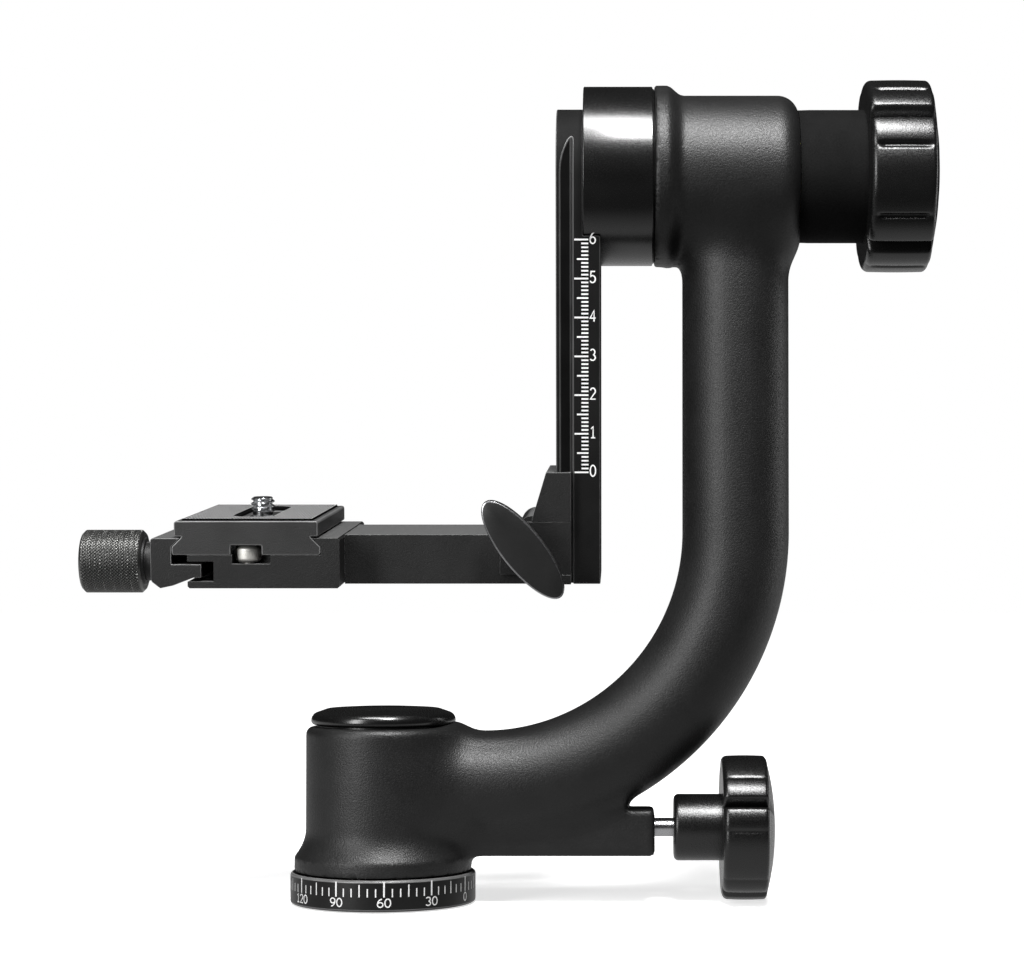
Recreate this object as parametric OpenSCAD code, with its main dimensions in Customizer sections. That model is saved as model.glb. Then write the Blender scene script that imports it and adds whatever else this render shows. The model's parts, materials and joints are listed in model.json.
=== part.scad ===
// Gimbal tripod head, in millimetres.
// Row frame: the pan axis is X = Y = 0 with +Z up, and Z = 0 is the underside of the base ring.
// The arm reaches towards +X, and the quick-release clamp hangs towards -X.
// The swing (drum, plate, cradle and clamp) is drawn in its own frame: x along the tilt axis,
// u across the plate (away from the front), and w downwards from the tilt axis.

/* [Base] */
// Radius of the graduated base ring
base_r = 24.15; // [22:0.05:30]
// Height of the base ring
base_h = 8; // [7:0.1:12]
// Chamfer on the ring's edges
base_chamfer = 0.4; // [0.2:0.1:1]
// Gap between the base ring and the turning sleeve
pan_gap = 0.3; // [0.2:0.05:1]
// Radius of the 3/8 inch tripod thread
tripod_thread_r = 3.97; // [3.9:0.01:4.6]
// Wall of the threaded bush
bush_wall = 2.03; // [1.5:0.01:3]
// Length of the threaded bush
bush_len = 9; // [7:0.5:9]
// Number of screws that hold the spindle to the ring
base_screw_count = 4; // [3:1:6]
// Distance of the base screws from the pan axis
base_screw_pcr = 11; // [10:0.1:12]

/* [Bearings] */
// Radius of the spindle and of the tilt shaft in their bearings
shaft_r = 9; // [8:0.1:9.5]
// Wall of an inner race
inner_race_t = 2.2; // [1.8:0.1:2.4]
// Radius of a bearing ball
ball_r = 1.25; // [1:0.05:1.4]
// Wall of an outer race
outer_race_t = 2.2; // [1.8:0.1:2.4]
// Width of a bearing
bearing_w = 6; // [5:0.5:7]
// Number of balls in a bearing
ball_count = 18; // [10:1:20]
// Running clearance between moving round faces
run_c = 0.05; // [0.02:0.01:0.09]
// Distance between the faces of the two pan bearings
pan_spacer_len = 16.5; // [15:0.5:18]
// Distance between the faces of the two tilt bearings
tilt_spacer_len = 19; // [14:0.5:20]
// Wall of the sleeve between two inner races
spacer_t = 3; // [2:0.1:3.2]

/* [Arm sleeve] */
// Outer radius of the sleeve on the base
sleeve_r = 20.2; // [19:0.1:23]
// Height of the sleeve's top above the underside of the base
sleeve_top = 45.8; // [44:0.1:50]
// Step in from the base ring to the sleeve's flared foot
flare_step = 1.05; // [0.6:0.05:1.6]
// Height at which the flare's straight foot ends
flare_foot_z = 12; // [10:0.1:14]
// Height at which the flare meets the sleeve
flare_top_z = 19.2; // [16:0.1:24]
// Radius of the cap
cap_r = 18.9; // [17:0.1:20]
// Thickness of the cap
cap_h = 4.5; // [3:0.1:6]
// Groove between sleeve and cap
cap_groove = 0.5; // [0.3:0.1:1]

/* [Arm] */
// Radius of the cast arm tube
tube_r = 14; // [12:0.1:16]
// Radius of the arm's bend, to the middle of the tube
bend_r = 66.2; // [50:0.1:90]
// Distance of the upright tube from the pan axis
upright_x = 92.5; // [80:0.1:120]
// Height of the lower tube's middle
tube_z = 30.6; // [28:0.1:33]
// Height of the tilt axis
tilt_z = 190.6; // [160:0.1:230]
// End of the lock's lug, from the pan axis
lug_x = 71.1; // [65:0.1:80]
// Thickness of the lug
lug_t = 14; // [12:0.5:18]
// Height of the lug's underside
lug_bottom_z = 12.3; // [11:0.1:13]
// Height of the lug's upper face
lug_top_z = 24.3; // [24:0.1:26]
// Notch between the lug and the tube, from the lug's end
lug_notch = 7.4; // [5:0.1:10]

/* [Housing] */
// Radius of the bearing housing
housing_r = 21.1; // [20:0.1:24]
// Radius of the housing's rim beside the drum
rim_r = 23.7; // [22:0.1:27]
// Width of that rim
rim_w = 3; // [2:0.1:5]
// Length of the hollow flare between rim and housing
rim_flare = 4.6; // [3:0.1:8]
// Housing left of the upright tube's middle
housing_left = 21.4; // [18:0.1:26]
// Housing right of the upright tube's middle
housing_right = 16.4; // [15.5:0.1:22]
// Rounding of the housing's outer corner
housing_round = 5.5; // [3:0.1:5.5]

/* [Pan lock] */
// Height of the lock screw
lock_z = 19.3; // [18.5:0.1:20]
// Radius of the lock screw
lock_screw_r = 2.45; // [2:0.05:2.6]
// Screw that shows between the lug and the hub
lock_gap = 5; // [3:0.1:8]
// Radius of the lock's hub
hub_r = 8.7; // [7:0.1:11]
// Length of the lock's hub
hub_len = 12.5; // [8:0.1:16]
// Radius of the lock knob over its lobes
lock_knob_r = 18.8; // [16:0.1:18.9]
// Thickness of the lock knob
lock_knob_t = 14; // [12:0.1:18]
// Height of the lock knob's domed outer face
lock_crown = 2.2; // [2:0.1:3]
// Radius of the brake shoe
shoe_r = 3.5; // [3.2:0.1:3.6]
// Length of the brake shoe
shoe_len = 8; // [6:0.1:9]
// Turn of the lock knob's near lobe below the front
lock_knob_turn = 20; // [0:1:90]

/* [Tilt clamp] */
// Radius of the matte collar
collar_r = 17.4; // [15:0.1:19]
// Length of the collar
collar_len = 16.9; // [12:0.1:24]
// Radius of the tilt knob over its lobes
tilt_knob_r = 25; // [22:0.1:30]
// Thickness of the tilt knob
tilt_knob_t = 19.4; // [18:0.1:24]
// Height of the tilt knob's domed outer face
tilt_crown = 2.4; // [2:0.1:4]
// Radius of the shaft's threaded end
stud_r = 5; // [4:0.1:6]
// Turn of the tilt knob's near lobe below the front
tilt_knob_turn = 12; // [0:1:90]
// Depth of the friction washer's seat
washer_t = 2.5; // [1.5:0.1:2.6]

/* [Swing] */
// Tilt of the swing as stored, with its lower end swung back
swing_tilt = 6; // [0:1:20]
// Radius of the drum
drum_r = 23.55; // [20:0.05:26]
// Thickness of the drum
drum_t = 18.1; // [14:0.1:24]
// Gap between the drum and the housing
drum_gap = 0.5; // [0.3:0.1:1]
// Width of the swing plate
plate_w = 35; // [35:0.5:44]
// Thickness of the swing plate
plate_t = 11.5; // [11:0.1:14]
// Plate left under the drum's seat
seat_t = 7; // [6:0.1:8]
// Length of the plate below the tilt axis
plate_len = 106.3; // [100:0.1:140]
// Radial gap round the drum's seat
seat_gap = 0.25; // [0.1:0.05:0.5]
// Lip of the plate's dovetail
dove_lip = 1.1; // [0.8:0.1:2]
// Depth of the dovetail groove in each edge
dove_depth = 2.6; // [2:0.1:3]
// Flat floor of the dovetail groove
dove_floor = 0.7; // [0.4:0.1:1.5]
// Height above the tilt axis where the groove ends
groove_top = 10; // [4:0.5:14]

/* [Cradle] */
// Height of the bracket
bracket_h = 29; // [27:0.1:34]
// Distance of the bracket's foot above the plate's lower end
foot_gap = 0.1; // [0:0.1:3]
// Reach of the bracket's sides past the plate's edges
bracket_side = 2.5; // [2.5:0.1:5]
// Thickness of the bracket's back at its top
bracket_back = 2.6; // [2:0.1:4]
// Further thickness of the bracket's back at its foot
bracket_slant = 3.6; // [2:0.1:6]
// Thickness of the level arm
rail_h = 12.8; // [11:0.1:12.8]
// Width of the level arm
rail_w = 36; // [30:0.5:38]
// Length of the level arm, from the bracket to the clamp
rail_len = 48.8; // [40:0.1:80]
// Sliding clearance in the dovetails
slide_c = 0.1; // [0.05:0.01:0.2]
// Long half axis of the oval lever
lever_a = 15.6; // [12:0.1:18]
// Short half axis of the oval lever
lever_b = 5.4; // [5:0.1:8]
// Thickness of the oval lever
lever_t = 3.4; // [2:0.1:5]
// Slope of the oval lever
lever_slope = 51.4; // [0:0.1:90]
// Distance of the lever's screw from the plate's face
lever_back = 8.3; // [7:0.1:12]
// Radius of the lever's screw
lever_screw_r = 2; // [1.5:0.1:2.5]
// Radius of the lever's hub
lever_hub_r = 4.6; // [4:0.1:5]
// Gap between the jaw's face and the lever
lever_gap = 5; // [4:0.1:8]

/* [Clamp] */
// Length of the clamp and of the quick-release plate
clamp_len = 60; // [50:0.5:80]
// Width of the clamp's fixed body
clamp_w = 38.8; // [38:0.1:44]
// Floor of the clamp, below its top
clamp_floor = 4.3; // [4:0.1:4.6]
// Lip of the fixed jaw, from the body's right side to the plate's neck
fixed_lip = 7.6; // [6:0.1:9]
// Opening left between the jaws' inner walls
jaw_gap = 4.2; // [3:0.1:6]
// Thickness of the moving jaw
jaw_t = 5.2; // [4.5:0.1:8]
// Reach of the moving jaw's tongue
tongue_len = 7.6; // [6:0.1:9]
// Height of the clamp screw's axis below the clamp's top
clamp_screw_drop = 8.5; // [8.5:0.1:8.7]
// Radius of the clamp screw
clamp_screw_r = 2; // [1.5:0.1:2.2]
// Radius of the knurled knob
knurl_r = 8.4; // [7:0.1:12]
// Length of the knurled knob
knurl_len = 16.3; // [12:0.1:24]
// Length of the neck between knob and jaw
neck_len = 7.2; // [4:0.1:10]
// Radius of the neck
neck_r = 5.2; // [4:0.1:6]

/* [Quick-release plate] */
// Width of the plate's dovetail
qr_w = 38; // [38:0.1:38]
// Width of the plate's top
qr_top_w = 36.7; // [36:0.1:38]
// Width of the plate's neck
qr_neck_w = 32.7; // [32:0.1:33.5]
// Thickness of the plate's top
qr_top_t = 3.95; // [3:0.05:5]
// Gap between the plate's top and the clamp
qr_step = 0.45; // [0.3:0.05:1]
// Thickness of the rubber pad
pad_t = 1.2; // [0.8:0.1:1.4]
// Depth of the pad's seat
pad_seat = 0.7; // [0.4:0.1:1]
// Border of the plate round the pad
pad_border = 1.6; // [1:0.1:3]
// Radius of the 1/4 inch camera screw
camera_screw_r = 3.175; // [3:0.005:3.3]
// Camera screw above the plate
camera_screw_out = 4.4; // [4:0.1:6]
// Length of the camera screw's slot
slot_len = 38; // [20:1:40]
// Radius of the safety pin
pin_r = 3.4; // [3:0.1:3.6]
// Height of the safety pin
pin_h = 4.3; // [4:0.1:4.6]

/* [Hidden] */

eps = 0.01;
far = 200;
round_fn = 96;
small_fn = 48;
edge_steps = 5;
curve_steps = 6;
dome_steps = 8;

// Radial stack of both bearings.
inner_race_r = shaft_r + inner_race_t;
ball_pcr = inner_race_r + run_c + ball_r;
outer_race_bore_r = ball_pcr + ball_r + run_c;
race_r = outer_race_bore_r + outer_race_t;
spacer_r = shaft_r + spacer_t;
web_bore_r = spacer_r + 0.6;

// Heights on the pan axis.
flange_z = base_h / 2;
flange_r = race_r - 0.5;
sleeve_z = base_h + pan_gap;
flare_r = base_r - flare_step;
flange_top_z = sleeve_z + 0.6;
pan_low_z = flange_top_z + 0.6;
pan_web_z = pan_low_z + bearing_w;
pan_high_z = pan_web_z + pan_spacer_len;
spindle_top = pan_high_z + bearing_w;
spindle_washer_t = 1.5;
spindle_head_h = 3.4;
spindle_head_r = 5;
spindle_bolt_r = 3;
spindle_bolt_len = 14;
bush_r = tripod_thread_r + bush_wall;
base_screw_r = 1.5;
base_screw_head_r = 2.75;
base_screw_head_h = 2;
base_screw_drop = 0.4;
cap_skirt_t = 2.6;
cap_flat_r = 9;
cap_dish = 0.35;
cap_wall = 2.4;

// Places along the tilt axis.
rim_x = upright_x - housing_left;
housing_end_x = upright_x + housing_right;
drum_x1 = rim_x - drum_gap;
drum_x0 = drum_x1 - drum_t;
plate_x1 = drum_x0 - seat_t + plate_t;
plate_x0 = drum_x0 - seat_t;
tilt_spacer_x = upright_x - tilt_spacer_len / 2 - 2.9;
tilt_left_x = tilt_spacer_x - bearing_w;
tilt_right_x = tilt_spacer_x + tilt_spacer_len;
washer_out = 0.2;
washer_x = housing_end_x + washer_out - washer_t;
washer_r = race_r - 0.4;
collar_x = housing_end_x + washer_out + 0.1;
tilt_knob_x = collar_x + collar_len;
stud_end_x = tilt_knob_x + tilt_knob_t - 4.6;
insert_t = 3;
insert_len = tilt_knob_t - 2.6;
drum_boss_r = inner_race_r;
plate_screw_pcr = 11.5;
plate_screw_r = 2;
plate_screw_head_r = 3.6;
plate_screw_head_h = 3;
plate_screw_len = 18;

// Shape of both lobed knobs, by angle from the middle of a lobe.
lobe_pitch = 90;
valley_half = 6;
groove_at = 21.8;
groove_half = 4;
knob_step = 3;
knob_edge = 2;
tilt_knob_valley = 4.6;
tilt_knob_groove = 1.1;
lock_knob_valley = 3.6;
lock_knob_groove = 0.8;

// Places on the pan lock.
shoe_x = spacer_r + run_c;
shoe_end_x = shoe_x + shoe_len;
shoe_pocket_x = shoe_end_x + 1.6;
shoe_socket = 3;
hub_x = lug_x + lock_gap;
lock_knob_x = hub_x + hub_len;
lock_screw_in = 8;

// The plate's dovetail, along x from the plate's outer face.
dove_x1 = plate_x0 + dove_lip + dove_depth;
dove_x2 = dove_x1 + dove_floor;
edge_u = plate_w / 2;
side_u = edge_u + bracket_side;

// Tongue under the clamp, and the screws through it.
rail_tongue_len = 14;
rail_tongue_u = 14;
rail_tongue_h = 4;
clamp_bolt_r = 1.5;
clamp_bolt_head_r = 2.8;
clamp_bolt_head_h = 1.8;
clamp_bolt_len = 7.4;

// The bracket, the level arm and the clamp.
bracket_x1 = dove_x1 + 0.15;
bracket_x0 = plate_x0 - bracket_back;
bracket_foot_x = bracket_x0 - bracket_slant;
rail_bottom = plate_len - foot_gap;
rail_top = rail_bottom - rail_h;
bracket_top = rail_bottom - bracket_h;
clamp_x1 = bracket_foot_x - rail_len;
clamp_x0 = clamp_x1 - clamp_w;
clamp_bottom = rail_bottom;
floor_w = rail_top + clamp_floor;
qr_x = clamp_x1 - fixed_lip - qr_neck_w / 2 + slide_c * 1.5;
qr_neck_slope = (qr_w - qr_neck_w) / 2;
qr_neck_top = rail_top - qr_step;
qr_top = qr_neck_top - qr_top_t;
qr_flank_w = qr_neck_top + qr_neck_slope;
jaw_x0 = clamp_x0 - jaw_gap - jaw_t;
jaw_wall_x = qr_x - qr_w / 2 - slide_c * 1.2;
screw_w = rail_top + clamp_screw_drop;
slot_w0 = rail_top + 5.9;
slot_w1 = rail_top + 11.1;
slot_x = clamp_x0 + 6.7;
tongue_w0 = slot_w0 + 0.8;
tongue_w1 = slot_w1 - 1;
tongue_x = jaw_wall_x + tongue_len;
tongue_u = 8;
spring_pocket_r = 3.6;
spring_pocket_x = clamp_x0 + 10.3;
jaw_screw_end = clamp_x1 - rail_tongue_len - 2.6;
jaw_screw_bore_end = jaw_screw_end + 1.5;

neck_x = jaw_x0 - neck_len;
knurl_x = neck_x - knurl_len;

// The safety pin near the clamp's front end.
pin_u = -clamp_len / 2 + pin_r + 1;
pin_top = floor_w - 2.2;
pin_seat_w = pin_top + pin_h;
pin_hole_w = clamp_bottom - 1.8;
pin_stem_r = 1.4;
pin_scoop_w = 10.5;
pin_notch_w = 7.9;
pin_notch_h = 2.5;

// The camera screw.
screw_head_r = 6.4;
screw_head_h = 2.9;
screw_web_w = qr_top + 4.5;
clip_t = 0.5;
clip_r = 5.4;
slot_r = camera_screw_r + 0.35;
slot_half = slot_len / 2 - slot_r;
screw_travel = slot_half - 1.5;
camera_tip_w = qr_top - camera_screw_out;
camera_neck_r = camera_screw_r - 0.5;
pad_slot_r = 4.6;
pad_top = qr_top + pad_seat - pad_t;

// The cradle's clamping lever.
lever_x = plate_x0 - lever_back;
lever_w = rail_top + 3.1;
jaw_block_x = lever_x - 6.2;
jaw_block_w0 = rail_top - 3.4;
jaw_block_w1 = rail_top + 10.2;
jaw_depth = side_u - edge_u + dove_depth;
lever_u1 = -side_u - lever_gap;
lever_u0 = lever_u1 - lever_t;
lever_screw_in = 14;
bead_r = 4.1;

// ---------- helpers ----------

// Draws its children in the swing's frame.
module swing_frame() {
    translate([0, 0, tilt_z]) rotate([swing_tilt, 0, 0]) children();
}

// A cylinder along x from x0 to x1.
module rod_x(x0, x1, r, fn = small_fn) {
    translate([x0, 0, 0]) rotate([0, 90, 0]) cylinder(h = x1 - x0, r = r, $fn = fn);
}

// A tube along x from x0 to x1.
module tube_x(x0, x1, r_in, r_out, fn = round_fn) {
    rotate([0, 90, 0]) tube_z(x0, x1, r_in, r_out, fn);
}

// A tube along z from z0 to z1.
module tube_z(z0, z1, r_in, r_out, fn = round_fn) {
    rotate_extrude($fn = fn)
        polygon([[r_in, z0], [r_out, z0], [r_out, z1], [r_in, z1]]);
}

// A cylinder along u from u0 to u1.
module rod_u(u0, u1, r, fn = small_fn) {
    translate([0, u1, 0]) rotate([90, 0, 0]) cylinder(h = u1 - u0, r = r, $fn = fn);
}

// A cylinder from depth w0 down to depth w1 of the swing's frame.
module rod_w(w0, w1, r, fn = small_fn) {
    translate([0, 0, -w1]) cylinder(h = w1 - w0, r = r, $fn = fn);
}

// A block in the swing's frame, with w measured downwards.
module block(x0, x1, u0, u1, w0, w1) {
    translate([x0, u0, -w1]) cube([x1 - x0, u1 - u0, w1 - w0]);
}

// An outline in x and w, extruded across from u0 to u1.
module across(points, u0, u1) {
    translate([0, u1, 0]) rotate([90, 0, 0])
        linear_extrude(u1 - u0) polygon([for (p = points) [p[0], -p[1]]]);
}

// An outline in x and u, extruded downwards from w0 to w1.
module downwards(points, w0, w1) {
    translate([0, 0, -w1]) linear_extrude(w1 - w0) polygon(points);
}

// Points of an arc about a centre, from one angle to another.
function arc(centre, r, a0, a1, steps) =
    [for (i = [0:steps]) let (a = a0 + (a1 - a0) * i / steps)
        [centre[0] + r * cos(a), centre[1] + r * sin(a)]];

// A coil spring along +z as one unbroken wire.
module coil(coil_r, wire_r, height, turns) {
    steps = 14 * turns;
    sides = 6;
    rise = height - 2 * wire_r;
    rings = [for (i = [0:steps], j = [0:sides - 1])
        let (a = 360 * turns * i / steps, b = 360 * j / sides, r = coil_r + wire_r * cos(b))
            [r * cos(a), r * sin(a), wire_r + rise * i / steps + wire_r * sin(b)]];
    walls = [for (i = [0:steps - 1], j = [0:sides - 1])
        let (k = (j + 1) % sides, low = i * sides, high = (i + 1) * sides)
            each [[low + j, low + k, high + k], [low + j, high + k, high + j]]];
    start = [for (j = [sides - 1:-1:0]) j];
    stop = [for (j = [0:sides - 1]) steps * sides + j];
    polyhedron(points = rings, faces = concat(walls, [start, stop]));
}

// Both races of a pair of bearings, between two radii, from the first bearing's face.
module race_pair(first, spacing, r_in, r_out) {
    for (z = [first, first + spacing])
        tube_z(z, z + bearing_w, r_in, r_out);
}

// The balls of a pair of bearings.
module ball_pair(first, spacing) {
    for (z = [first, first + spacing], i = [0:ball_count - 1])
        rotate([0, 0, 360 * i / ball_count])
            translate([ball_pcr, 0, z + bearing_w / 2]) sphere(r = ball_r, $fn = 24);
}

// Outline of a four-lobed knob: sharp valleys between rounded lobes with two shallow grooves each.
// The radius at each angle is the base radius less the valleys' and the grooves' depths.
function knob_valley(a, centre, half, depth) =
    let (t = abs(a - centre) / half) t >= 1 ? 0 : depth * (1 - t) * (1 - t);
function knob_dip(a, centre, half, depth) =
    let (t = (a - centre) / half) abs(t) >= 1 ? 0 : depth * (1 - t * t) * (1 - t * t);
function knob_radius(a, r, valley, groove) =
    let (m = (a + 360) % lobe_pitch, s = m > lobe_pitch / 2 ? m - lobe_pitch : m)
        r - knob_valley(abs(s), lobe_pitch / 2, valley_half, valley)
            - knob_dip(abs(s), groove_at, groove_half, groove);
function knob_outline(r, valley, groove) =
    [for (a = [0:knob_step:360 - knob_step])
        let (k = knob_radius(a, r, valley, groove)) [k * cos(a), k * sin(a)]];

// A lobed knob along +z with rounded rims and a domed face; its near lobe points along +x.
module lobed_knob(r, t, crown, valley, groove) {
    edge = knob_edge;
    rim_z = t - crown;
    intersection() {
        linear_extrude(t) polygon(knob_outline(r, valley, groove));
        rotate_extrude($fn = round_fn) polygon(concat(
            [[0, 0]],
            arc([r - edge, edge], edge, -90, 0, edge_steps),
            arc([r - edge, rim_z - edge], edge, 0, 90, edge_steps),
            [for (i = [1:dome_steps]) let (s = 1 - i / dome_steps)
                [(r - edge) * s, t - crown * s * s]]));
    }
}

// ---------- base ----------

// The graduated ring that sits on the tripod.
module pan_base() {
    color([0.12, 0.12, 0.13])
    difference() {
        rotate_extrude($fn = round_fn) polygon([
            [0, 0], [base_r - base_chamfer, 0], [base_r, base_chamfer],
            [base_r, base_h - base_chamfer], [base_r - base_chamfer, base_h], [0, base_h]]);
        translate([0, 0, flange_z]) cylinder(h = base_h, r = flange_r + run_c, $fn = round_fn);
        translate([0, 0, -1]) cylinder(h = base_h + 2, r = bush_r, $fn = round_fn);
        base_screw_places() {
            translate([0, 0, -1]) cylinder(h = base_h, r = base_screw_r + run_c, $fn = small_fn);
            translate([0, 0, -1])
                cylinder(h = 1 + base_screw_drop + base_screw_head_h,
                    r = base_screw_head_r + run_c, $fn = small_fn);
        }
    }
}

module base_screw_places() {
    for (i = [0:base_screw_count - 1])
        rotate([0, 0, 45 + 360 * i / base_screw_count]) translate([base_screw_pcr, 0, 0])
            children();
}

// Steel bush with the 3/8 inch thread.
module tripod_bush() {
    color([0.6, 0.6, 0.62])
    tube_z(0, bush_len, tripod_thread_r, bush_r);
}

// Spindle that the arm turns on, with a flange let into the ring.
module pan_spindle() {
    color([0.55, 0.56, 0.58])
    difference() {
        rotate_extrude($fn = round_fn) polygon([
            [0, flange_z], [flange_r, flange_z], [flange_r, flange_top_z],
            [inner_race_r, flange_top_z], [inner_race_r, pan_low_z],
            [shaft_r, pan_low_z], [shaft_r, spindle_top], [0, spindle_top]]);
        translate([0, 0, flange_z - 1])
            cylinder(h = bush_len - flange_z + 1, r = bush_r, $fn = round_fn);
        translate([0, 0, spindle_top - spindle_bolt_len])
            cylinder(h = spindle_bolt_len + 1, r = spindle_bolt_r, $fn = small_fn);
        base_screw_places()
            cylinder(h = base_h, r = base_screw_r, $fn = small_fn);
    }
}

// Screws from below that hold the spindle's flange.
module base_screws() {
    color([0.7, 0.7, 0.72])
    base_screw_places() difference() {
        union() {
            translate([0, 0, base_screw_drop])
                cylinder(h = base_screw_head_h, r = base_screw_head_r, $fn = small_fn);
            translate([0, 0, base_screw_drop])
                cylinder(h = base_h - base_screw_drop, r = base_screw_r, $fn = small_fn);
        }
        translate([0, 0, base_screw_drop - 1])
            cylinder(h = 1 + base_screw_head_h / 2, r = base_screw_r, $fn = 6);
    }
}

module pan_inner_races() {
    color([0.75, 0.76, 0.78])
    race_pair(pan_low_z, bearing_w + pan_spacer_len, shaft_r, inner_race_r);
}

// Sleeve between the inner races, which the brake shoe presses on.
module pan_spacer() {
    color([0.66, 0.6, 0.42])
    tube_z(pan_web_z, pan_high_z, shaft_r, spacer_r);
}

module spindle_washer() {
    color([0.7, 0.7, 0.72])
    tube_z(spindle_top, spindle_top + spindle_washer_t, spindle_bolt_r, inner_race_r);
}

// Socket screw that draws the bearings together.
module spindle_screw() {
    color([0.3, 0.3, 0.32])
    difference() {
        union() {
            translate([0, 0, spindle_top - spindle_bolt_len])
                cylinder(h = spindle_bolt_len + spindle_washer_t, r = spindle_bolt_r,
                    $fn = small_fn);
            translate([0, 0, spindle_top + spindle_washer_t])
                cylinder(h = spindle_head_h, r = spindle_head_r, $fn = small_fn);
        }
        translate([0, 0, spindle_top + spindle_washer_t + spindle_head_h / 2])
            cylinder(h = spindle_head_h, r = spindle_head_r / 2, $fn = 6);
    }
}

// ---------- arm ----------

// The sleeve's outline, with its flared foot and rounded top edge.
function sleeve_outline() =
    let (flare = flare_top_z - flare_foot_z, edge = 2)
        concat(
            [[0, sleeve_z], [flare_r - 0.5, sleeve_z], [flare_r, sleeve_z + 0.5]],
            [for (i = [0:curve_steps]) let (s = i / curve_steps)
                [sleeve_r + (flare_r - sleeve_r) * (1 - s) * (1 - s),
                 flare_foot_z + flare * s]],
            arc([sleeve_r - edge, sleeve_top - edge], edge, 0, 90, curve_steps),
            [[0, sleeve_top]]);

// The housing's outline along the tilt axis.
function housing_outline() =
    let (flare_x = rim_x + rim_w)
        concat(
            [[0, rim_x], [rim_r - 0.6, rim_x], [rim_r, rim_x + 0.6]],
            [for (i = [0:curve_steps]) let (s = i / curve_steps)
                [housing_r + (rim_r - housing_r) * (1 + cos(180 * s)) / 2,
                 flare_x + rim_flare * s]],
            arc([housing_r - housing_round, housing_end_x - housing_round],
                housing_round, 0, 90, dome_steps),
            [[0, housing_end_x]]);

// The web under the lower tube, which carries the lock's lug.
module lug() {
    notch_x = lug_x - lug_notch;
    translate([0, lug_t / 2, 0]) rotate([90, 0, 0]) linear_extrude(lug_t) polygon([
        [0, lug_bottom_z], [lug_x - 1, lug_bottom_z], [lug_x, lug_bottom_z + 1],
        [lug_x, lug_top_z - 1.6], [lug_x + 0.6, lug_top_z], [notch_x + 1.2, lug_top_z],
        [notch_x + 0.3, lug_top_z + 0.5], [notch_x, lug_top_z + 1.4],
        [notch_x + 0.3, lug_top_z + 2.4],
        [notch_x - 6, tube_z + 6], [0, tube_z]]);
}

// Cast arm: sleeve, bent tube and bearing housing in one piece.
module gimbal_arm() {
    color([0.16, 0.16, 0.17])
    difference() {
        union() {
            rotate_extrude($fn = round_fn) polygon(sleeve_outline());
            translate([0, 0, tube_z]) rod_x(0, upright_x - bend_r + eps, tube_r, round_fn);
            translate([upright_x - bend_r, 0, tube_z + bend_r]) rotate([90, 0, 0])
                rotate([0, 0, -90]) rotate_extrude(angle = 90, $fn = round_fn)
                    translate([bend_r, 0]) circle(r = tube_r, $fn = round_fn);
            translate([upright_x, 0, tube_z + bend_r - eps])
                cylinder(h = tilt_z - tube_z - bend_r, r = tube_r, $fn = round_fn);
            translate([0, 0, tilt_z]) rotate([0, 90, 0])
                rotate_extrude($fn = round_fn) polygon(housing_outline());
            lug();
        }
        // Seats of the pan bearings and the web between them.
        translate([0, 0, sleeve_z - 1])
            cylinder(h = pan_web_z - sleeve_z + 1, r = race_r, $fn = round_fn);
        translate([0, 0, pan_web_z - 1])
            cylinder(h = pan_spacer_len + 2, r = web_bore_r, $fn = round_fn);
        translate([0, 0, pan_high_z])
            cylinder(h = sleeve_top - pan_high_z + 1, r = race_r, $fn = round_fn);
        // Seats of the tilt bearings and the web between them.
        translate([0, 0, tilt_z]) {
            rod_x(rim_x - 1, tilt_spacer_x, race_r, round_fn);
            rod_x(tilt_spacer_x - 1, tilt_right_x + 1, web_bore_r, round_fn);
            rod_x(tilt_right_x, housing_end_x + 1, race_r, round_fn);
        }
        // Pocket of the brake shoe and bore of the lock screw.
        translate([0, 0, lock_z]) {
            rod_x(web_bore_r - 2, shoe_pocket_x, shoe_r + run_c);
            rod_x(web_bore_r, lug_x + 2, lock_screw_r + run_c);
        }
    }
}

// Cap over the pan bearing, with a shallow dish in its domed top.
module pan_cap() {
    base_z = sleeve_top + cap_groove;
    top_z = base_z + cap_h;
    color([0.1, 0.1, 0.11])
    rotate_extrude($fn = round_fn) polygon(concat(
        [[0, base_z + cap_h - cap_wall], [race_r - cap_skirt_t, base_z + cap_h - cap_wall],
         [race_r - cap_skirt_t, sleeve_top - 3.6], [race_r, sleeve_top - 3.6],
         [race_r, sleeve_top], [cap_r - 1.6, sleeve_top], [cap_r - 1.6, base_z],
         [cap_r - 0.5, base_z], [cap_r, base_z + 0.5]],
        [for (i = [0:dome_steps]) let (a = 90 * i / dome_steps)
            [cap_flat_r + (cap_r - cap_flat_r) * cos(a),
             base_z + 1.3 + (cap_h - 1.3) * sin(a)]],
        [[cap_flat_r - 0.6, top_z - cap_dish], [0, top_z - cap_dish]]));
}

module pan_outer_races() {
    color([0.75, 0.76, 0.78])
    race_pair(pan_low_z, bearing_w + pan_spacer_len, outer_race_bore_r, race_r);
}

module pan_balls() {
    color([0.85, 0.85, 0.87])
    ball_pair(pan_low_z, bearing_w + pan_spacer_len);
}

module tilt_outer_races() {
    color([0.75, 0.76, 0.78])
    translate([0, 0, tilt_z]) rotate([0, 90, 0])
        race_pair(tilt_left_x, bearing_w + tilt_spacer_len, outer_race_bore_r, race_r);
}

module tilt_balls() {
    color([0.85, 0.85, 0.87])
    translate([0, 0, tilt_z]) rotate([0, 90, 0])
        ball_pair(tilt_left_x, bearing_w + tilt_spacer_len);
}

// Washer let into the housing's end, which the collar rubs on.
module friction_washer() {
    color([0.5, 0.4, 0.3])
    translate([0, 0, tilt_z])
        tube_x(washer_x, washer_x + washer_t, shaft_r + 0.4, race_r);
}

// ---------- pan lock ----------

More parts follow.
